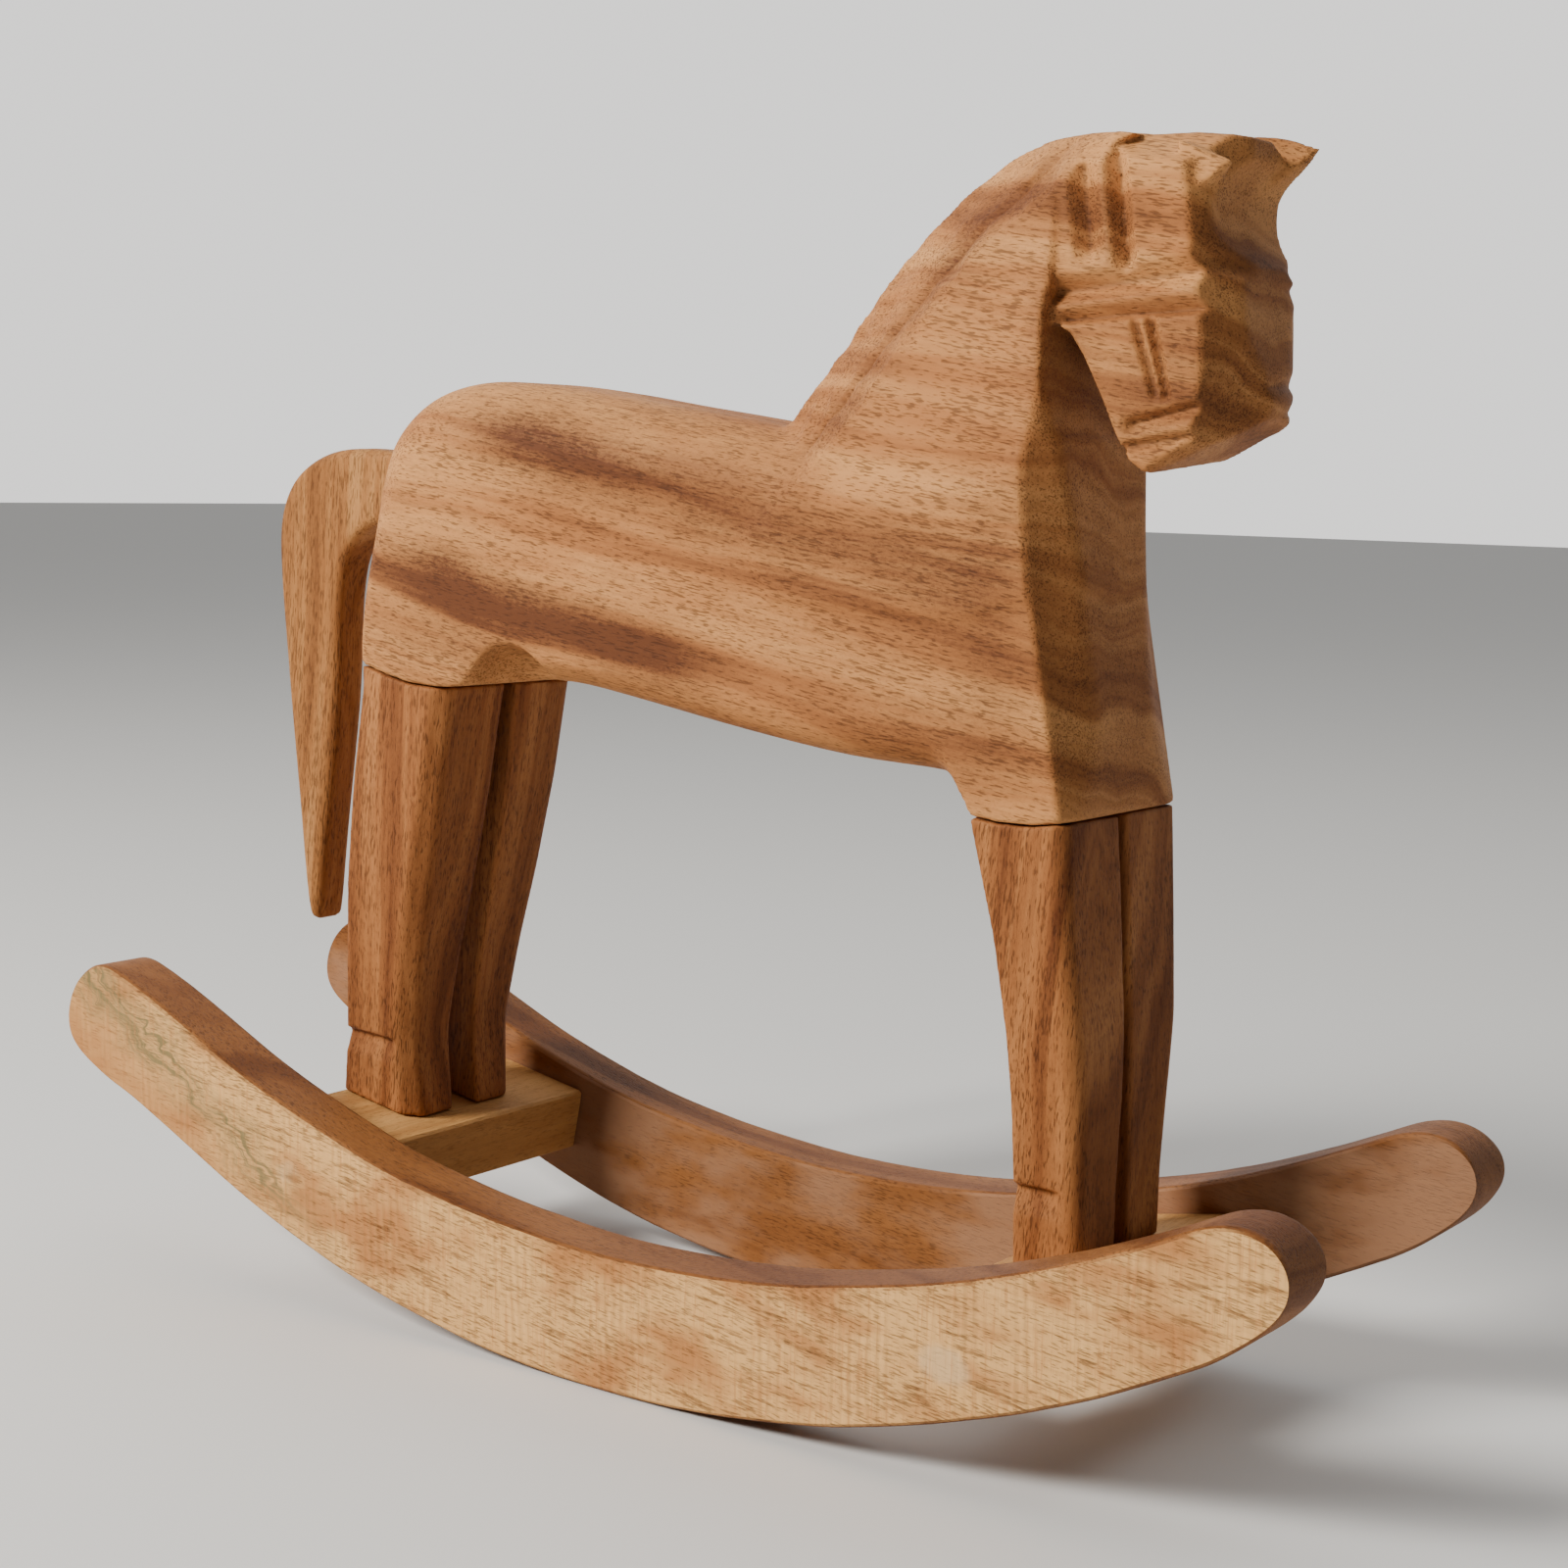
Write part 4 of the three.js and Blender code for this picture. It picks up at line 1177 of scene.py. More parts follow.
        blotch = self.cloud(at, (0.035, 0.05, 0.075), 3.0, 0.6)
        patch = self.cloud(at, (0.06, 0.05, 0.12), 2.0, 0.5)
        flecks = self.cloud(grain, (0.10, 0.55, 1.1), 4.0, 0.7).between(0.55, 0.66)
        face = self.mix(blotch.between(0.45, 0.66), self.colour(s.pale), self.colour(s.rose))
        face = self.mix(flecks * 0.6, face, self.colour(self.finish.deep))
        face = self.mix((fine.between(0.45, 0.8) * 0.28), face, self.colour(self.finish.warm))
        face = self.mix((pores * 0.55).clip(), face, self.colour(shade(self.finish.deep, 0.5)))
        rear = x.between(-45.0, -105.0)
        line = z - 40.0 + (x + 100.0) * 0.60
        below = (line * -1.0).between(-4.0, 12.0) * rear
        face = self.mix((below * (0.35 + patch) * 0.8).clip(), face, self.colour(s.rose))
        seam = self.cloud(at, (0.05, 0.0, 0.12), 3.0, 0.6) - 0.5
        swing = line + seam * 16.0
        stain = (swing / 5.0) ** 2.0
        strips = noise(tree, joined(tree, x * 0.03, swing * 0.55, 2.0), 1.0, 3.0, 0.6).between(0.42, 0.62)
        tip = (stain * -1.0).maths("EXPONENT") * x.between(-48.0, -84.0) * (0.35 + strips)
        face = self.mix(tip.clip() * 0.95, face, self.colour(s.stain))
        for spot, radius, strength in s.smears:
            sx, sz = floor_place(spot)
            away = (((x - sx) / radius) ** 2.0 + ((z - sz) / (radius * 0.8)) ** 2.0).maths("SQRT")
            face = self.mix((away + seam * 1.6).between(1.0, 0.6) * strength, face, self.colour(s.smear))
        for spot, radius in s.knots:
            sx, sz = floor_place(spot)
            away = (((x - sx) / radius) ** 2.0 + ((z - sz) / (radius * 0.5)) ** 2.0).maths("SQRT") + seam
            face = self.mix(away.between(1.2, 0.3) * 0.7, face, self.colour(self.finish.warm))

        sway = self.cloud(at, (0.03, 0.0, 0.05), 2.0) * 2.2
        phase = (x + z * 0.06 + sway) * (2 * math.pi / s.pitch)
        beat = self.cloud(at, (0.22, 0.0, 0.03), 2.0).between(0.35, 0.7)
        marks = phase.maths("SINE") * beat
        cross = self.cloud(at, (1.6, 0.0, 0.10), 2.0, 0.6) - 0.5
        face = self.mix((marks * 0.5 + 0.5).clip() * 0.20, face, self.colour(shade(s.pale, 0.6)))
        face = self.mix(cross.between(0.0, 0.2) * 0.42, face, self.colour(s.rose))
        base = self.mix(inner * 0.75, base, self.mix(blotch.between(0.4, 0.65), self.colour(s.inner), base))
        base = self.mix(outer, base, face)
        relief = relief + (marks * s.depth + cross * (s.depth * 1.6)) * outer
        rough = rough + (outer + inner) * self.SAWN_ROUGHER
        return base, relief, rough


OILED = WoodFinish(
    name="oiled_body_wood",
    pale=(0.620, 0.290, 0.100),
    warm=(0.400, 0.152, 0.047),
    deep=(0.125, 0.041, 0.015),
    turn=(0.0, -9.0, 0.0),
    streaks=(
        Streak((-40.0, 157.0), (62.0, 130.0), 6.0, 0.55),
        Streak((-34.0, 155.0), (-8.0, 147.0), 4.0, 0.35),
        Streak((-63.0, 134.0), (-44.0, 130.0), 6.0, 0.40),
        Streak((-50.0, 131.0), (8.0, 116.0), 4.6, 0.80),
        Streak((-62.0, 121.0), (-34.0, 118.0), 5.0, 0.30),
        Streak((28.0, 149.0), (56.0, 183.0), 4.0, 0.42),
        Streak((52.0, 179.0), (72.0, 195.0), 3.6, 0.38),
        Streak((66.0, 112.0), (66.0, 146.0), 7.0, 0.34),
        Streak((40.0, 108.0), (70.0, 104.0), 6.0, 0.30),
        Streak((74.0, 186.0), (84.0, 178.0), 3.0, 0.30),
        Streak((84.0, 152.0), (96.0, 168.0), 7.0, 0.34),
        Streak((72.0, 172.0), (76.0, 160.0), 3.6, 0.50),
        Streak((38.0, 146.0), (60.0, 166.0), 9.0, -0.30),
        Streak((88.0, 192.0), (92.0, 180.0), 5.0, -0.30),
        Streak((18.0, 128.0), (62.0, 116.0), 9.0, 0.16),
    ),
)

LEG_WOOD = replace(
    OILED,
    name="oiled_leg_wood",
    pale=(0.470, 0.195, 0.064),
    warm=(0.310, 0.110, 0.032),
    deep=(0.110, 0.030, 0.009),
    turn=(0.0, 84.0, 0.0),
    pith=(30.0, -26.0),
    ring=6.0,
    contrast=0.6,
    streaks=(),
)

TAIL_WOOD = replace(
    LEG_WOOD,
    name="oiled_tail_wood",
    pale=(0.470, 0.225, 0.075),
    warm=(0.350, 0.140, 0.040),
    deep=(0.140, 0.048, 0.014),
    turn=(0.0, 86.0, 0.0),
    mottle=0.7,
)

ROCKER_WOOD = WoodFinish(
    name="rocker_wood",
    pale=(0.300, 0.118, 0.034),
    warm=(0.200, 0.070, 0.018),
    deep=(0.085, 0.024, 0.007),
    turn=(0.0, -7.0, 0.0),
    pith=(60.0, 30.0),
    ring=7.0,
    contrast=0.45,
    pores=0.5,
    gloss=(0.5, 0.65),
)

SAWN = SawnFinish(
    pale=(0.760, 0.430, 0.160),
    rose=(0.470, 0.200, 0.066),
    stain=(0.190, 0.150, 0.064),
    inner=(0.360, 0.190, 0.105),
)

SLAT_WOOD = replace(
    ROCKER_WOOD,
    name="slat_wood",
    pale=(0.620, 0.340, 0.120),
    warm=(0.500, 0.250, 0.080),
    deep=(0.240, 0.090, 0.024),
    turn=(0.0, 0.0, -90.0),
    contrast=0.3,
    pores=0.25,
    gloss=(0.6, 0.75),
)

DOWEL_WOOD = replace(
    SLAT_WOOD,
    name="dowel_wood",
    pale=(0.720, 0.520, 0.300),
    warm=(0.600, 0.400, 0.210),
    deep=(0.380, 0.220, 0.100),
    turn=(0.0, 90.0, 0.0),
)


@dataclass(frozen=True)
class SpeckledFinish:
    """A finish whose colour and gloss vary in fine speckles.

    Args:
        name: the material's name.
        dark: colour of the darkest speckles.
        light: colour of the lightest.
        start: noise value up to which the dark colour holds.
        scale: speckles to a metre.
        detail: octaves of the noise.
        rough: how strong its finer octaves are.
        gloss: lowest roughness, and how much it varies.
        metal: 1 for metal and 0 for the rest.
    """

    name: str
    dark: Colour
    light: Colour
    start: float
    scale: float
    detail: float
    rough: float
    gloss: Point2
    metal: float

    def build(self) -> Finish:
        """Returns the finished material."""
        material = bpy.data.materials.new(self.name)
        material.use_nodes = True
        tree = material.node_tree
        surface = tree.nodes["Principled BSDF"]
        place = Term(tree, tree.nodes.new("ShaderNodeTexCoord").outputs["Object"])
        speckles = noise(tree, place, self.scale, self.detail, self.rough)
        ramp = tree.nodes.new("ShaderNodeValToRGB")
        ramp.color_ramp.elements[0].color = (*self.dark, 1)
        ramp.color_ramp.elements[0].position = self.start
        ramp.color_ramp.elements[1].color = (*self.light, 1)
        plug(speckles, ramp.inputs[0])
        tree.links.new(ramp.outputs[0], surface.inputs["Base Color"])
        lowest, spread = self.gloss
        plug(speckles * spread + lowest, surface.inputs["Roughness"])
        surface.inputs["Metallic"].default_value = self.metal
        return material


STEEL = SpeckledFinish(
    name="plated_steel",
    dark=(0.32, 0.31, 0.29),
    light=(0.55, 0.54, 0.52),
    start=0.0,
    scale=900.0,
    detail=3.0,
    rough=0.5,
    gloss=(0.25, 0.3),
    metal=1.0,
)

FILLER = SpeckledFinish(
    name="wood_filler",
    dark=(0.50, 0.30, 0.15),
    light=(0.78, 0.56, 0.33),
    start=0.3,
    scale=1200.0,
    detail=4.0,
    rough=0.7,
    gloss=(0.7, 0.2),
    metal=0.0,
)


# ---------------------------------------------------------------- pieces that follow a rule


class Rule:
    """A geometry node tree with named inputs, which turns a ruled tube into a piece."""

    def __init__(self, name: str, around: int, along: int) -> None:
        """Starts the tree with a tube.

        Args:
            name: the tree's name.
            around: points around the tube.
            along: segments along it.
        """
        self.tree = bpy.data.node_groups.new(name, "GeometryNodeTree")
        self.tree.interface.new_socket("Geometry", in_out="OUTPUT", socket_type="NodeSocketGeometry")
        self.inlet = self.tree.nodes.new("NodeGroupInput")
        self.outlet = self.tree.nodes.new("NodeGroupOutput")
        self.sockets: dict[str, str] = {}
        self.tube = self.tree.nodes.new("GeometryNodeMeshCylinder")
        self.tube.inputs["Vertices"].default_value = around
        self.tube.inputs["Side Segments"].default_value = along
        self.tube.inputs["Radius"].default_value = 1.0
        self.tube.inputs["Depth"].default_value = 2.0
        where = self.tree.nodes.new("GeometryNodeInputPosition")
        self.across, self.up, self.along = split(self.tree, Term(self.tree, where.outputs[0]))

    def number(self, name: str, usual: float) -> Term:
        """Returns a named input of the tree."""
        item = self.inlet_socket(name, "NodeSocketFloat")
        item.default_value = usual
        return self.input(item)

    def inlet_socket(self, name: str, kind: str) -> bpy.types.NodeTreeInterfaceSocket:
        """Adds an input to the tree and notes its identifier."""
        item = self.tree.interface.new_socket(name, in_out="INPUT", socket_type=kind)
        self.sockets[name] = item.identifier
        return item

    def input(self, item: bpy.types.NodeTreeInterfaceSocket) -> Term:
        """Returns an input's value inside the tree."""
        return Term(self.tree, next(s for s in self.inlet.outputs if s.identifier == item.identifier))

    def close(self, place: Term) -> None:
        """Ends the tree: moves the tube's points, realizes them and sets the material."""
        move = self.tree.nodes.new("GeometryNodeSetPosition")
        self.tree.links.new(self.tube.outputs["Mesh"], move.inputs["Geometry"])
        plug(place, move.inputs["Position"])
        real = self.tree.nodes.new("GeometryNodeRealizeInstances")
        self.tree.links.new(move.outputs[0], real.inputs[0])
        paint = self.tree.nodes.new("GeometryNodeSetMaterial")
        self.tree.links.new(real.outputs[0], paint.inputs["Geometry"])
        plug(self.input(self.inlet_socket("Material", "NodeSocketMaterial")), paint.inputs["Material"])
        self.tree.links.new(paint.outputs[0], self.outlet.inputs[0])

    def make(
        self, name: str, finish: Finish, values: dict[str, float], sharp: float = 35.0
    ) -> Piece:
        """Runs the tree and returns its result as a plain mesh piece in the row frame.

        Args:
            name: the piece's name.
            finish: its material.
            values: the tree's inputs by name.
            sharp: edges steeper than this many degrees stay sharp.

        Returns:
            The piece.
        """
        holder = bpy.data.objects.new(name, bpy.data.meshes.new(name + "_seed"))
        bpy.context.scene.collection.objects.link(holder)
        modifier = holder.modifiers.new("rule", "NODES")
        modifier.node_group = self.tree
        for key, value in values.items():
            modifier[self.sockets[key]] = value
        modifier[self.sockets["Material"]] = finish
        graph = bpy.context.evaluated_depsgraph_get()
        mesh = bpy.data.meshes.new_from_object(holder.evaluated_get(graph))
        holder.modifiers.clear()
        mesh.name = name
        points = np.empty(len(mesh.vertices) * 3, np.float32)
        mesh.vertices.foreach_get("co", points)
        points = to_floor(points.reshape(-1, 3).astype(float))
        mesh.vertices.foreach_set("co", points.astype(np.float32).ravel())
        mesh.materials.clear()
        mesh.materials.append(finish)
        holder.data = mesh
        self.face_out(mesh)
        mesh.shade_smooth()
        mesh.set_sharp_from_angle(angle=math.radians(sharp))
        LOG.info("%s: %d faces", name, len(mesh.polygons))
        return holder

    @staticmethod
    def face_out(mesh: bpy.types.Mesh) -> None:
        """Turns the faces outwards if the mesh came out inside out."""
        volume = 0.0
        mesh.calc_loop_triangles()
        for tri in mesh.loop_triangles:
            a, b, c = (mesh.vertices[i].co for i in tri.vertices)
            volume += a.dot(b.cross(c))
        if volume < 0:
            mesh.flip_normals()


def eased_section(across: Term, up: Term, half_a: Term, half_b: Term, ease: Term) -> tuple[Term, Term]:
    """Returns a point of a circle moved onto a rectangle with eased corners, each part from -1 to 1."""
    alpha = (1.0 - ease / half_a) ** 2.0
    beta = (1.0 - ease / half_b) ** 2.0
    whole = 1.0 - alpha * beta
    stretch_a = ((1.0 - beta) / whole) ** -0.5
    stretch_b = ((1.0 - alpha) / whole) ** -0.5
    return (across * stretch_a).clip(-1, 1), (up * stretch_b).clip(-1, 1)


class RockerRule(Rule):
    """A crescent board between two arcs, with round ends that droop a little."""

    REAR_RUN = 40.0
    FRONT_RUN = 20.0
    TIP_HALF = 0.25
    RIPPLE = 4.0

    def __init__(self) -> None:
        """Builds the rocker's tree."""
        super().__init__("Crescent board", around=112, along=180)
        tree = self.tree
        length = self.number("Length", 250.0)
        thick = self.number("Thickness", 12.0)
        outer = self.number("Outer face", 39.5)
        side = self.number("Side", -1.0)
        under_x, under_r = self.number("Underside X", 11.0), self.number("Underside radius", 217.0)
        top_x, top_z = self.number("Top X", 13.5), self.number("Top Z", 250.5)
        top_r = self.number("Top radius", 228.0)
        rear, front = self.number("Rear rounding", 11.5), self.number("Front rounding", 13.9)
        droop, nod = self.number("Rear droop", 12.0), self.number("Front droop", 3.6)
        ease, wander = self.number("Edge ease", 0.7), self.number("Saw wander", 0.25)
        seed = self.number("Seed", 3.0)

        half = length / 2
        x = (self.along * (math.pi / 2)).maths("SINE") * half
        over = top_z - (top_r**2.0 - (x - top_x) ** 2.0).maths("SQRT")
        under = under_r - (under_r**2.0 - (x - under_x) ** 2.0).maths("SQRT")
        back = ((x * -1.0 - half + self.REAR_RUN) / self.REAR_RUN).clip()
        ahead = ((x - half + self.FRONT_RUN) / self.FRONT_RUN).clip()
        sink = back**2.0 * (droop * 0.46) + back**6.0 * (droop * 0.54) + ahead**3.0 * nod
        rear_share = ((x * -1.0 - half + rear) / rear).clip()
        front_share = ((x - half + front) / front).clip()
        close_in = (1.0 - rear_share**2.0).maths("SQRT") * (1.0 - front_share**2.0).maths("SQRT")
        tall = ((over - under) / 2 * close_in).maths("MAXIMUM", self.TIP_HALF)
        part_y, part_z = eased_section(self.across, self.up, thick / 2, (top_z - top_r) / 2, ease)
        ripple = noise(tree, joined(tree, x * 0.035, part_z * 0.8, seed), 1.0, 3.0) - 0.5
        z = (over + under) / 2 - sink + part_z * (tall + ripple * wander * self.RIPPLE)
        y = (outer - thick / 2 + part_y * (thick / 2)) * side
        self.close(joined(tree, x, y, z))


class BoardRule(Rule):
    """A straight sawn board across the rockers, leaning with their slope."""

    def __init__(self) -> None:
        """Builds the slat's tree."""
        super().__init__("Sawn slat", around=96, along=60)
        tree = self.tree
        middle_x, middle_z = self.number("Middle X", 0.0), self.number("Middle Z", 20.0)
        length, width = self.number("Length", 54.4), self.number("Width", 24.0)
        thick, lean = self.number("Thickness", 12.0), self.number("Lean", 0.1)
        ease, wander = self.number("Edge ease", 0.5), self.number("Saw wander", 0.12)
        seed = self.number("Seed", 5.0)
        part_w, part_t = eased_section(self.across, self.up, width / 2, thick / 2, ease)
        ripple = (noise(tree, joined(tree, self.along * 1.8, part_w, seed), 1.0, 2.0) - 0.5) * wander
        w = part_w * (width / 2)
        t = part_t * (thick / 2 - 0.1 + ripple)
        cos, sin = lean.maths("COSINE"), lean.maths("SINE")
        x, z = middle_x + w * cos - t * sin, middle_z + w * sin + t * cos
        self.close(joined(tree, x, self.along * (length / 2), z))


class PinRule(Rule):
    """A turned or rolled pin: dowel, screw, nail or plug, along a line."""

    def __init__(self) -> None:
        """Builds the pin's tree."""
        super().__init__("Turned pin", around=40, along=150)
        tree = self.tree
        start = [self.number(f"Start {axis}", 0.0) for axis in "XYZ"]
        end = [self.number(f"End {axis}", 1.0) for axis in "XYZ"]
        radius, head = self.number("Radius", 3.0), self.number("Head radius", 3.0)
        head_share, cone_share = self.number("Head share", 0.0), self.number("Cone share", 0.0)
        tip_share = self.number("Tip share", 0.05)
        tip_size = self.number("Tip size", 0.8)
        pitch, thread = self.number("Thread pitch", 1.6), self.number("Thread height", 0.0)
        flutes, flute = self.number("Flute count", 0.0), self.number("Flute depth", 0.0)
        run = [b - a for a, b in zip(start, end)]
        length = (run[0] ** 2.0 + run[1] ** 2.0 + run[2] ** 2.0).maths("SQRT")
        share = self.along * 0.5 + 0.5
        angle = self.up.maths("ARCTAN2", self.across)
        turn = ((share * length / pitch) + angle / (2 * math.pi)).maths("FRACT")
        ridge = 1.0 - (turn * 2.0 - 1.0).maths("ABSOLUTE")
        threaded = share.between(head_share + cone_share, head_share + cone_share + 0.06)
        grooves = ((angle * flutes).maths("COSINE") * 0.5 + 0.5) * flute
        neck = 1.0 - share.between(head_share, head_share + cone_share + 0.004)
        tip = share.between(1.0 - tip_share, 1.0)
        foot = share.between(tip_share * 0.5, 0.0) * (head_share.maths("LESS_THAN", 0.001))
        size = radius + ridge * thread * threaded - grooves
        size = size + (head - radius) * neck
        size = size * (1.0 - tip * (1.0 - tip_size)) * (1.0 - foot * 0.08)
        unit = [part / length for part in run]
        flat = (unit[0] ** 2.0 + unit[1] ** 2.0 + 1e-6).maths("SQRT")
        side = [unit[1] / flat, unit[0] / flat * -1.0]
        level = unit[2].maths("ABSOLUTE").maths("GREATER_THAN", 0.999)
        side_x = side[0] * (1.0 - level) + level
        side_y = side[1] * (1.0 - level)
        third = [
            side_y * unit[2] * -1.0,
            side_x * unit[2],
            side_y * unit[0] - side_x * unit[1],
        ]
        place = [
            start[0] + run[0] * share + size * (self.across * side_x + self.up * third[0]),
            start[1] + run[1] * share + size * (self.across * side_y + self.up * third[1]),
            start[2] + run[2] * share + size * (self.up * third[2]),
        ]
        self.close(joined(tree, *place))


# ---------------------------------------------------------------- the base and the hidden fixings


@dataclass
class RockerPair:
    """The two crescent rockers, sawn from one board."""

    sizes: RockerSizes
    rule: RockerRule = field(default_factory=RockerRule)

    def build(self, finish: Finish) -> list[Piece]:
        """Returns both rockers as pieces."""
        s = self.sizes
        values = {
            "Length": s.length,
            "Thickness": s.thick,
            "Outer face": s.outer,
            "Underside X": s.under_x,
            "Underside radius": s.under_radius,
            "Top X": s.top_x,
            "Top Z": s.top_z,
            "Top radius": s.top_radius,
            "Rear rounding": s.rear_end,
            "Front rounding": s.front_end,
            "Edge ease": s.ease,
            "Saw wander": s.saw_wander,
        }
        pieces = []
        for side in Side:
            own = {**values, "Side": float(side.value), "Seed": 3.0 + side.value}
            pieces.append(self.rule.make(f"sawn_rocker_{side.label}", finish, own))
        return pieces


@dataclass
class SlatPair:
    """The two slats that join the rockers and carry the feet."""

    slats: Sequence[SlatSizes]
    rocker: RockerSizes
    rule: BoardRule = field(default_factory=BoardRule)

    def build(self, finish: Finish) -> list[Piece]:
        """Returns both slats as pieces."""
        return [
            self.rule.make(
                f"sawn_{slat.name}",
                finish,
                {
                    "Middle X": slat.x,
                    "Middle Z": slat.middle(self.rocker),
                    "Length": slat.length,
                    "Width": slat.width,
                    "Thickness": slat.thick,
                    "Lean": slat.lean(self.rocker),
                    "Seed": slat.x,
                },
            )
            for slat in self.slats
        ]


@dataclass(frozen=True)
class PinSizes:
    """One pin: its line in bench millimetres, and its shape's inputs by name."""

    node: str
    name: str
    slot: str
    start: Point3
    end: Point3
    shape: tuple[tuple[str, float], ...]

    def values(self) -> dict[str, float]:
        """Returns the pin rule's inputs."""
        ends = {f"Start {axis}": v for axis, v in zip("XYZ", self.start)}
        ends.update({f"End {axis}": v for axis, v in zip("XYZ", self.end)})
        return {**ends, **dict(self.shape)}


@dataclass
class Fixings:
    """The glued dowels, the countersunk screws, and the nails under their filler."""

    legs: Sequence[LegSizes]
    slats: Sequence[SlatSizes]
    rocker: RockerSizes
    rule: PinRule = field(default_factory=PinRule)

    DOWEL = (
        ("Radius", 2.94),
        ("Head radius", 2.94),
        ("Tip share", 0.06),
        ("Flute count", 16.0),
        ("Flute depth", 0.16),
    )
    TAIL_PIN = (
        ("Radius", 2.44),
        ("Head radius", 2.44),
        ("Tip share", 0.06),
        ("Flute count", 14.0),
        ("Flute depth", 0.14),
    )
    SCREW = (
        ("Radius", 1.28),
        ("Head radius", 3.45),
        ("Head share", 0.012),
        ("Cone share", 0.065),
        ("Tip share", 0.12),
        ("Tip size", 0.2),
        ("Thread height", 0.45),
    )
    NAIL = (
        ("Radius", 1.18),
        ("Head radius", 2.45),
        ("Head share", 0.04),
        ("Tip share", 0.1),
        ("Tip size", 0.12),
    )
    PLUG = (("Radius", 2.44), ("Head radius", 2.44), ("Tip share", 0.12), ("Tip size", 0.94))
    SEAT_GAP = 0.3
    DOWEL_HALF = 11.9
    SCREW_SINK = 0.6
    SCREW_BITE = 16.8
    NAIL_HEAD_DEPTH = 2.4
    NAIL_TIP_Y = 13.7
    PLUG_DEPTHS = (1.95, 0.02)
    TAIL_JOINT = (-67.5, 0.0, 145.0)
    TAIL_PIN_HALF = 9.9

    def leg_pins(self, leg: LegSizes, slat: SlatSizes, side: Side) -> list[PinSizes]:
        """Returns the dowel in a leg's top and the screw in its foot."""
        top, foot = leg.stations[0], leg.stations[-1]
        x, y = (top.front + top.rear) / 2, side.value * (top.outer + top.inner) / 2
        foot_x, foot_y = (foot.rear + foot.front) / 2, side.value * (foot.outer + foot.inner) / 2
        foot_z = slat.top_at(self.rocker, foot_x)
        lean = slat.lean(self.rocker)
        tag = f"{leg.name}_{side.label}"
        dowel = [(x, y, top.z + self.SEAT_GAP + end) for end in (-self.DOWEL_HALF, self.DOWEL_HALF)]
        screw = [
            (foot_x - math.sin(lean) * end, foot_y, foot_z + math.cos(lean) * end)
            for end in (self.SCREW_SINK - slat.thick, self.SCREW_BITE)
        ]
        return [
            PinSizes(f"dowel_{tag}", f"fluted_dowel_{tag}", "dowel_wood", *dowel, self.DOWEL),
            PinSizes(f"screw_{tag}", f"wood_screw_{tag}", "steel", *screw, self.SCREW),
        ]

    def slat_pins(self, slat: SlatSizes, side: Side) -> list[PinSizes]:
        """Returns the nail into a slat's end and the filler over its head."""
        z = slat.middle(self.rocker)
        outer = self.rocker.outer
        tag = f"{slat.name.removeprefix('slat_')}_{side.label}"
        nail = [(slat.x, side.value * y, z) for y in (outer - self.NAIL_HEAD_DEPTH, self.NAIL_TIP_Y)]
        filler = [(slat.x, side.value * (outer - depth), z) for depth in self.PLUG_DEPTHS]
        return [
            PinSizes(f"nail_{tag}", f"wire_nail_{tag}", "steel", *nail, self.NAIL),
            PinSizes(f"filler_{tag}", f"nail_filler_{tag}", "filler", *filler, self.PLUG),
        ]

    def pins(self) -> list[PinSizes]:
        """Returns every pin of the horse and its base."""
        x, y, z = self.TAIL_JOINT
        ends = [(x + run, y, z) for run in (-self.TAIL_PIN_HALF, self.TAIL_PIN_HALF)]
        found = [PinSizes("dowel_tail", "fluted_dowel_tail", "dowel_wood", *ends, self.TAIL_PIN)]
        for leg, slat in zip(self.legs, self.slats):
            for side in Side:
                found += self.leg_pins(leg, slat, side) + self.slat_pins(slat, side)
        return found

    def build(self, finishes: dict[str, Finish]) -> list[tuple[Piece, PinSizes]]:
        """Returns each pin's piece with its sizes."""
        return [(self.rule.make(p.name, finishes[p.slot], p.values(), 50.0), p) for p in self.pins()]


# ---------------------------------------------------------------- stage


@dataclass(frozen=True)
class Eye:
    """Where the camera stands, in the bench frame, and its lens."""

    target: Point3 = (13.2, 0.0, 96.1)
    distance: float = 439.6
    azimuth: float = 35.93
    elevation: float = 5.93
    lens: float = 60.0


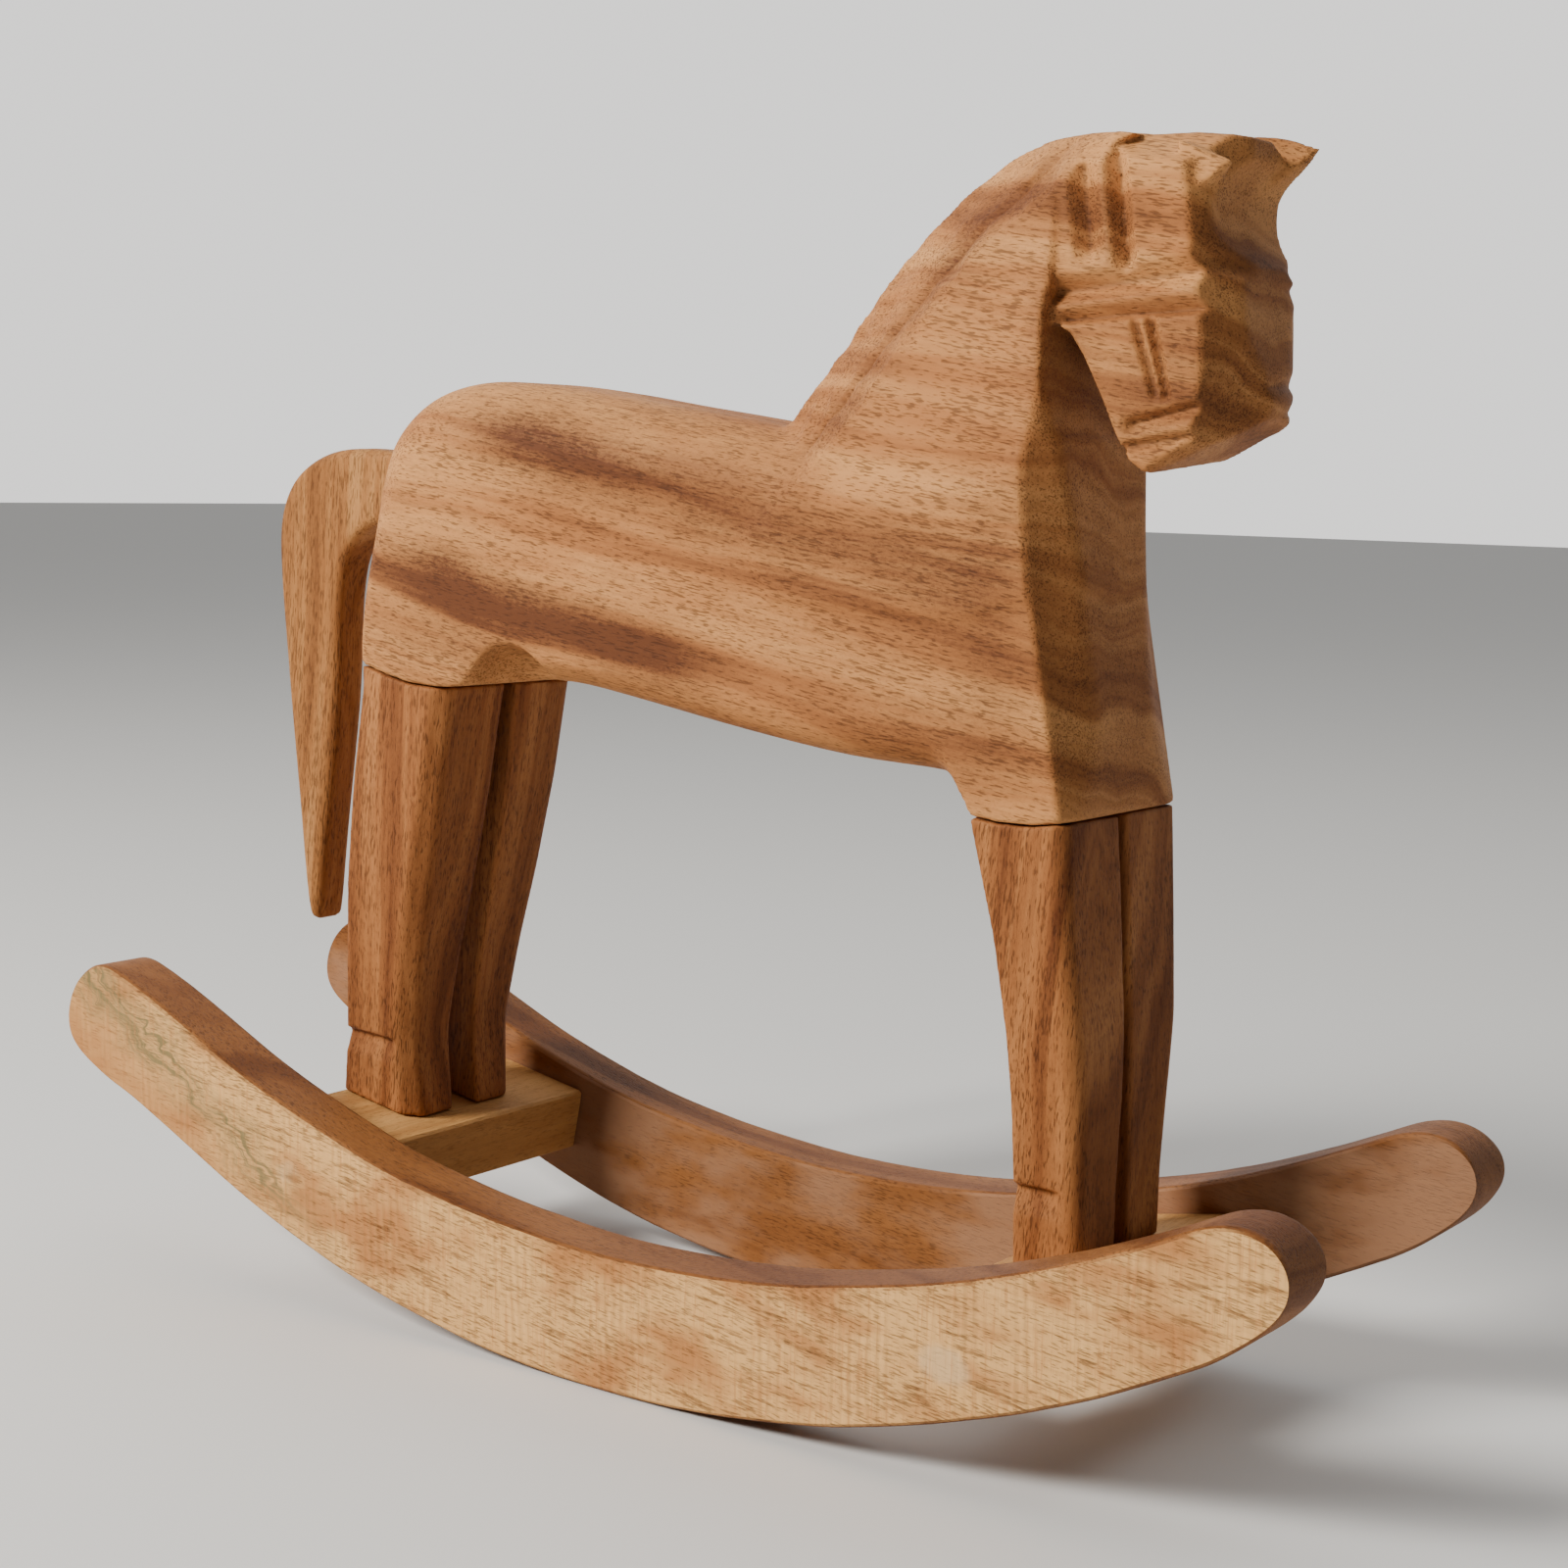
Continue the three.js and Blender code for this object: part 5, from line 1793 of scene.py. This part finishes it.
@dataclass
class Stage:
    """The pale floor, the soft light and the camera."""

    FLOOR_REACH = 6.0
    SKY_BEHIND = 1.25
    SKY_AHEAD = 0.05

    eye: Eye

    def floor(self) -> Piece:
        """Returns a wide plain floor."""
        mesh = bpy.data.meshes.new("pale_floor")
        reach = self.FLOOR_REACH
        corners = [(-reach, -reach, 0), (reach, -reach, 0), (reach, reach, 0), (-reach, reach, 0)]
        mesh.from_pydata(corners, [], [(0, 1, 2, 3)])
        floor = bpy.data.objects.new("pale_floor", mesh)
        bpy.context.scene.collection.objects.link(floor)
        paper = bpy.data.materials.new("pale_paper")
        paper.use_nodes = True
        surface = paper.node_tree.nodes["Principled BSDF"]
        surface.inputs["Base Color"].default_value = (0.74, 0.74, 0.73, 1)
        surface.inputs["Roughness"].default_value = 0.9
        surface.inputs["Specular IOR Level"].default_value = 0.1
        mesh.materials.append(paper)
        return floor

    def lamp(self, name: str, place: Point3, aim: Point3, size: float, power: float, tint: Colour) -> None:
        """Adds a soft square lamp, with its place and aim in metres."""
        light = bpy.data.lights.new(name, "AREA")
        light.size = size
        light.energy = power
        light.color = tint
        lamp = bpy.data.objects.new(name, light)
        bpy.context.scene.collection.objects.link(lamp)
        lamp.location = place
        lamp.rotation_euler = (Vector(place) - Vector(aim)).to_track_quat("Z", "Y").to_euler()

    def lights(self) -> None:
        """Adds the lamps and the sky."""
        middle = (0.0, 0.0, 0.10)
        self.lamp("key", (-0.50, -0.95, 0.80), middle, 0.40, 26.0, (1.0, 0.96, 0.90))
        self.lamp("top", (-0.05, 0.10, 1.10), middle, 0.90, 2.5, (1.0, 0.98, 0.95))
        self.sky()

    def sky(self) -> None:
        """Adds the sky, bright behind the horse and dim in front of it."""
        world = bpy.data.worlds.new("soft_sky")
        world.use_nodes = True
        tree = world.node_tree
        place = tree.nodes.new("ShaderNodeTexCoord")
        a = math.radians(self.eye.azimuth)
        dx, dy, _ = split(tree, Term(tree, place.outputs["Generated"]))
        behind = dx * -math.sin(a) + dy * math.cos(a)
        sky = tree.nodes["Background"]
        sky.inputs["Color"].default_value = (1.0, 0.985, 0.965, 1)
        plug(behind.between(0.0, 0.75) * self.SKY_BEHIND + self.SKY_AHEAD, sky.inputs["Strength"])
        bpy.context.scene.world = world

    def camera(self) -> None:
        """Adds the camera, three quarters from the front on the right side."""
        e = self.eye
        a, b = math.radians(e.azimuth), math.radians(e.elevation)
        back = Vector((math.sin(a) * math.cos(b), -math.cos(a) * math.cos(b), math.sin(b)))
        target = Vector(e.target)
        place = target + back * e.distance
        turn = back.to_track_quat("Z", "Y").to_matrix().to_4x4()
        world = REST.matrix() @ Matrix.Translation(place) @ turn
        data = bpy.data.cameras.new("eye")
        data.lens = e.lens
        data.sensor_width = 36.0
        data.clip_start = 0.01
        camera = bpy.data.objects.new("eye", data)
        bpy.context.scene.collection.objects.link(camera)
        camera.location = world.to_translation() * MM
        camera.rotation_euler = world.to_euler()
        bpy.context.scene.camera = camera

    def build(self) -> None:
        """Sets the stage."""
        self.floor()
        self.lights()
        self.camera()


# ---------------------------------------------------------------- the whole horse


@dataclass
class RockingHorse:
    """The horse on its rockers.

    Args:
        body: sizes of the carved block.
        legs: sizes of the hind and front legs.
        tail: sizes of the tail board.
        rocker: sizes of a rocker.
        slats: sizes of the rear and front slats.
    """

    body: BodySizes = field(default_factory=BodySizes)
    legs: tuple[LegSizes, ...] = (HIND_LEG, FRONT_LEG)
    tail: TailSizes = field(default_factory=TailSizes)
    rocker: RockerSizes = field(default_factory=RockerSizes)
    slats: tuple[SlatSizes, ...] = (SlatSizes("slat_rear", -68.0), SlatSizes("slat_front", 73.0))

    def stand_in(self, piece: Piece, node: str) -> None:
        """Lets a piece stand for its node of the frame."""
        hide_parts(node)
        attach(piece, "root")
        LOG.info("%s stands for %s", piece.name, node)

    def finishes(self) -> dict[str, Finish]:
        """Returns each finish by its slot."""
        return {
            "body_wood": WoodShader(OILED).build(),
            "leg_wood": WoodShader(LEG_WOOD).build(),
            "tail_wood": WoodShader(TAIL_WOOD).build(),
            "rocker_wood": WoodShader(ROCKER_WOOD, SAWN).build(),
            "slat_wood": WoodShader(SLAT_WOOD).build(),
            "dowel_wood": WoodShader(DOWEL_WOOD).build(),
            "steel": STEEL.build(),
            "filler": FILLER.build(),
        }

    def build(self) -> None:
        """Builds every piece and gives it its place in the frame."""
        finish = self.finishes()
        self.stand_in(CarvedBody(self.body).build(finish["body_wood"]), "body")
        for leg, slat in zip(self.legs, self.slats):
            for piece in CarvedLegs(leg, slat, self.rocker).build(finish["leg_wood"]):
                self.stand_in(piece, piece.name.removeprefix("carved_"))
        self.stand_in(CarvedTail(self.tail).build(finish["tail_wood"]), "tail")
        for piece in RockerPair(self.rocker).build(finish["rocker_wood"]):
            self.stand_in(piece, piece.name.removeprefix("sawn_"))
        for piece in SlatPair(self.slats, self.rocker).build(finish["slat_wood"]):
            self.stand_in(piece, piece.name.removeprefix("sawn_"))
        for piece, pin in Fixings(self.legs, self.slats, self.rocker).build(finish):
            self.stand_in(piece, pin.node)


def main() -> None:
    """Loads the frame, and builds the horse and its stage."""
    logging.basicConfig(level=logging.INFO, format="%(name)s: %(message)s")
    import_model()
    RockingHorse().build()
    Stage(Eye()).build()


if __name__ == "__main__":
    main()
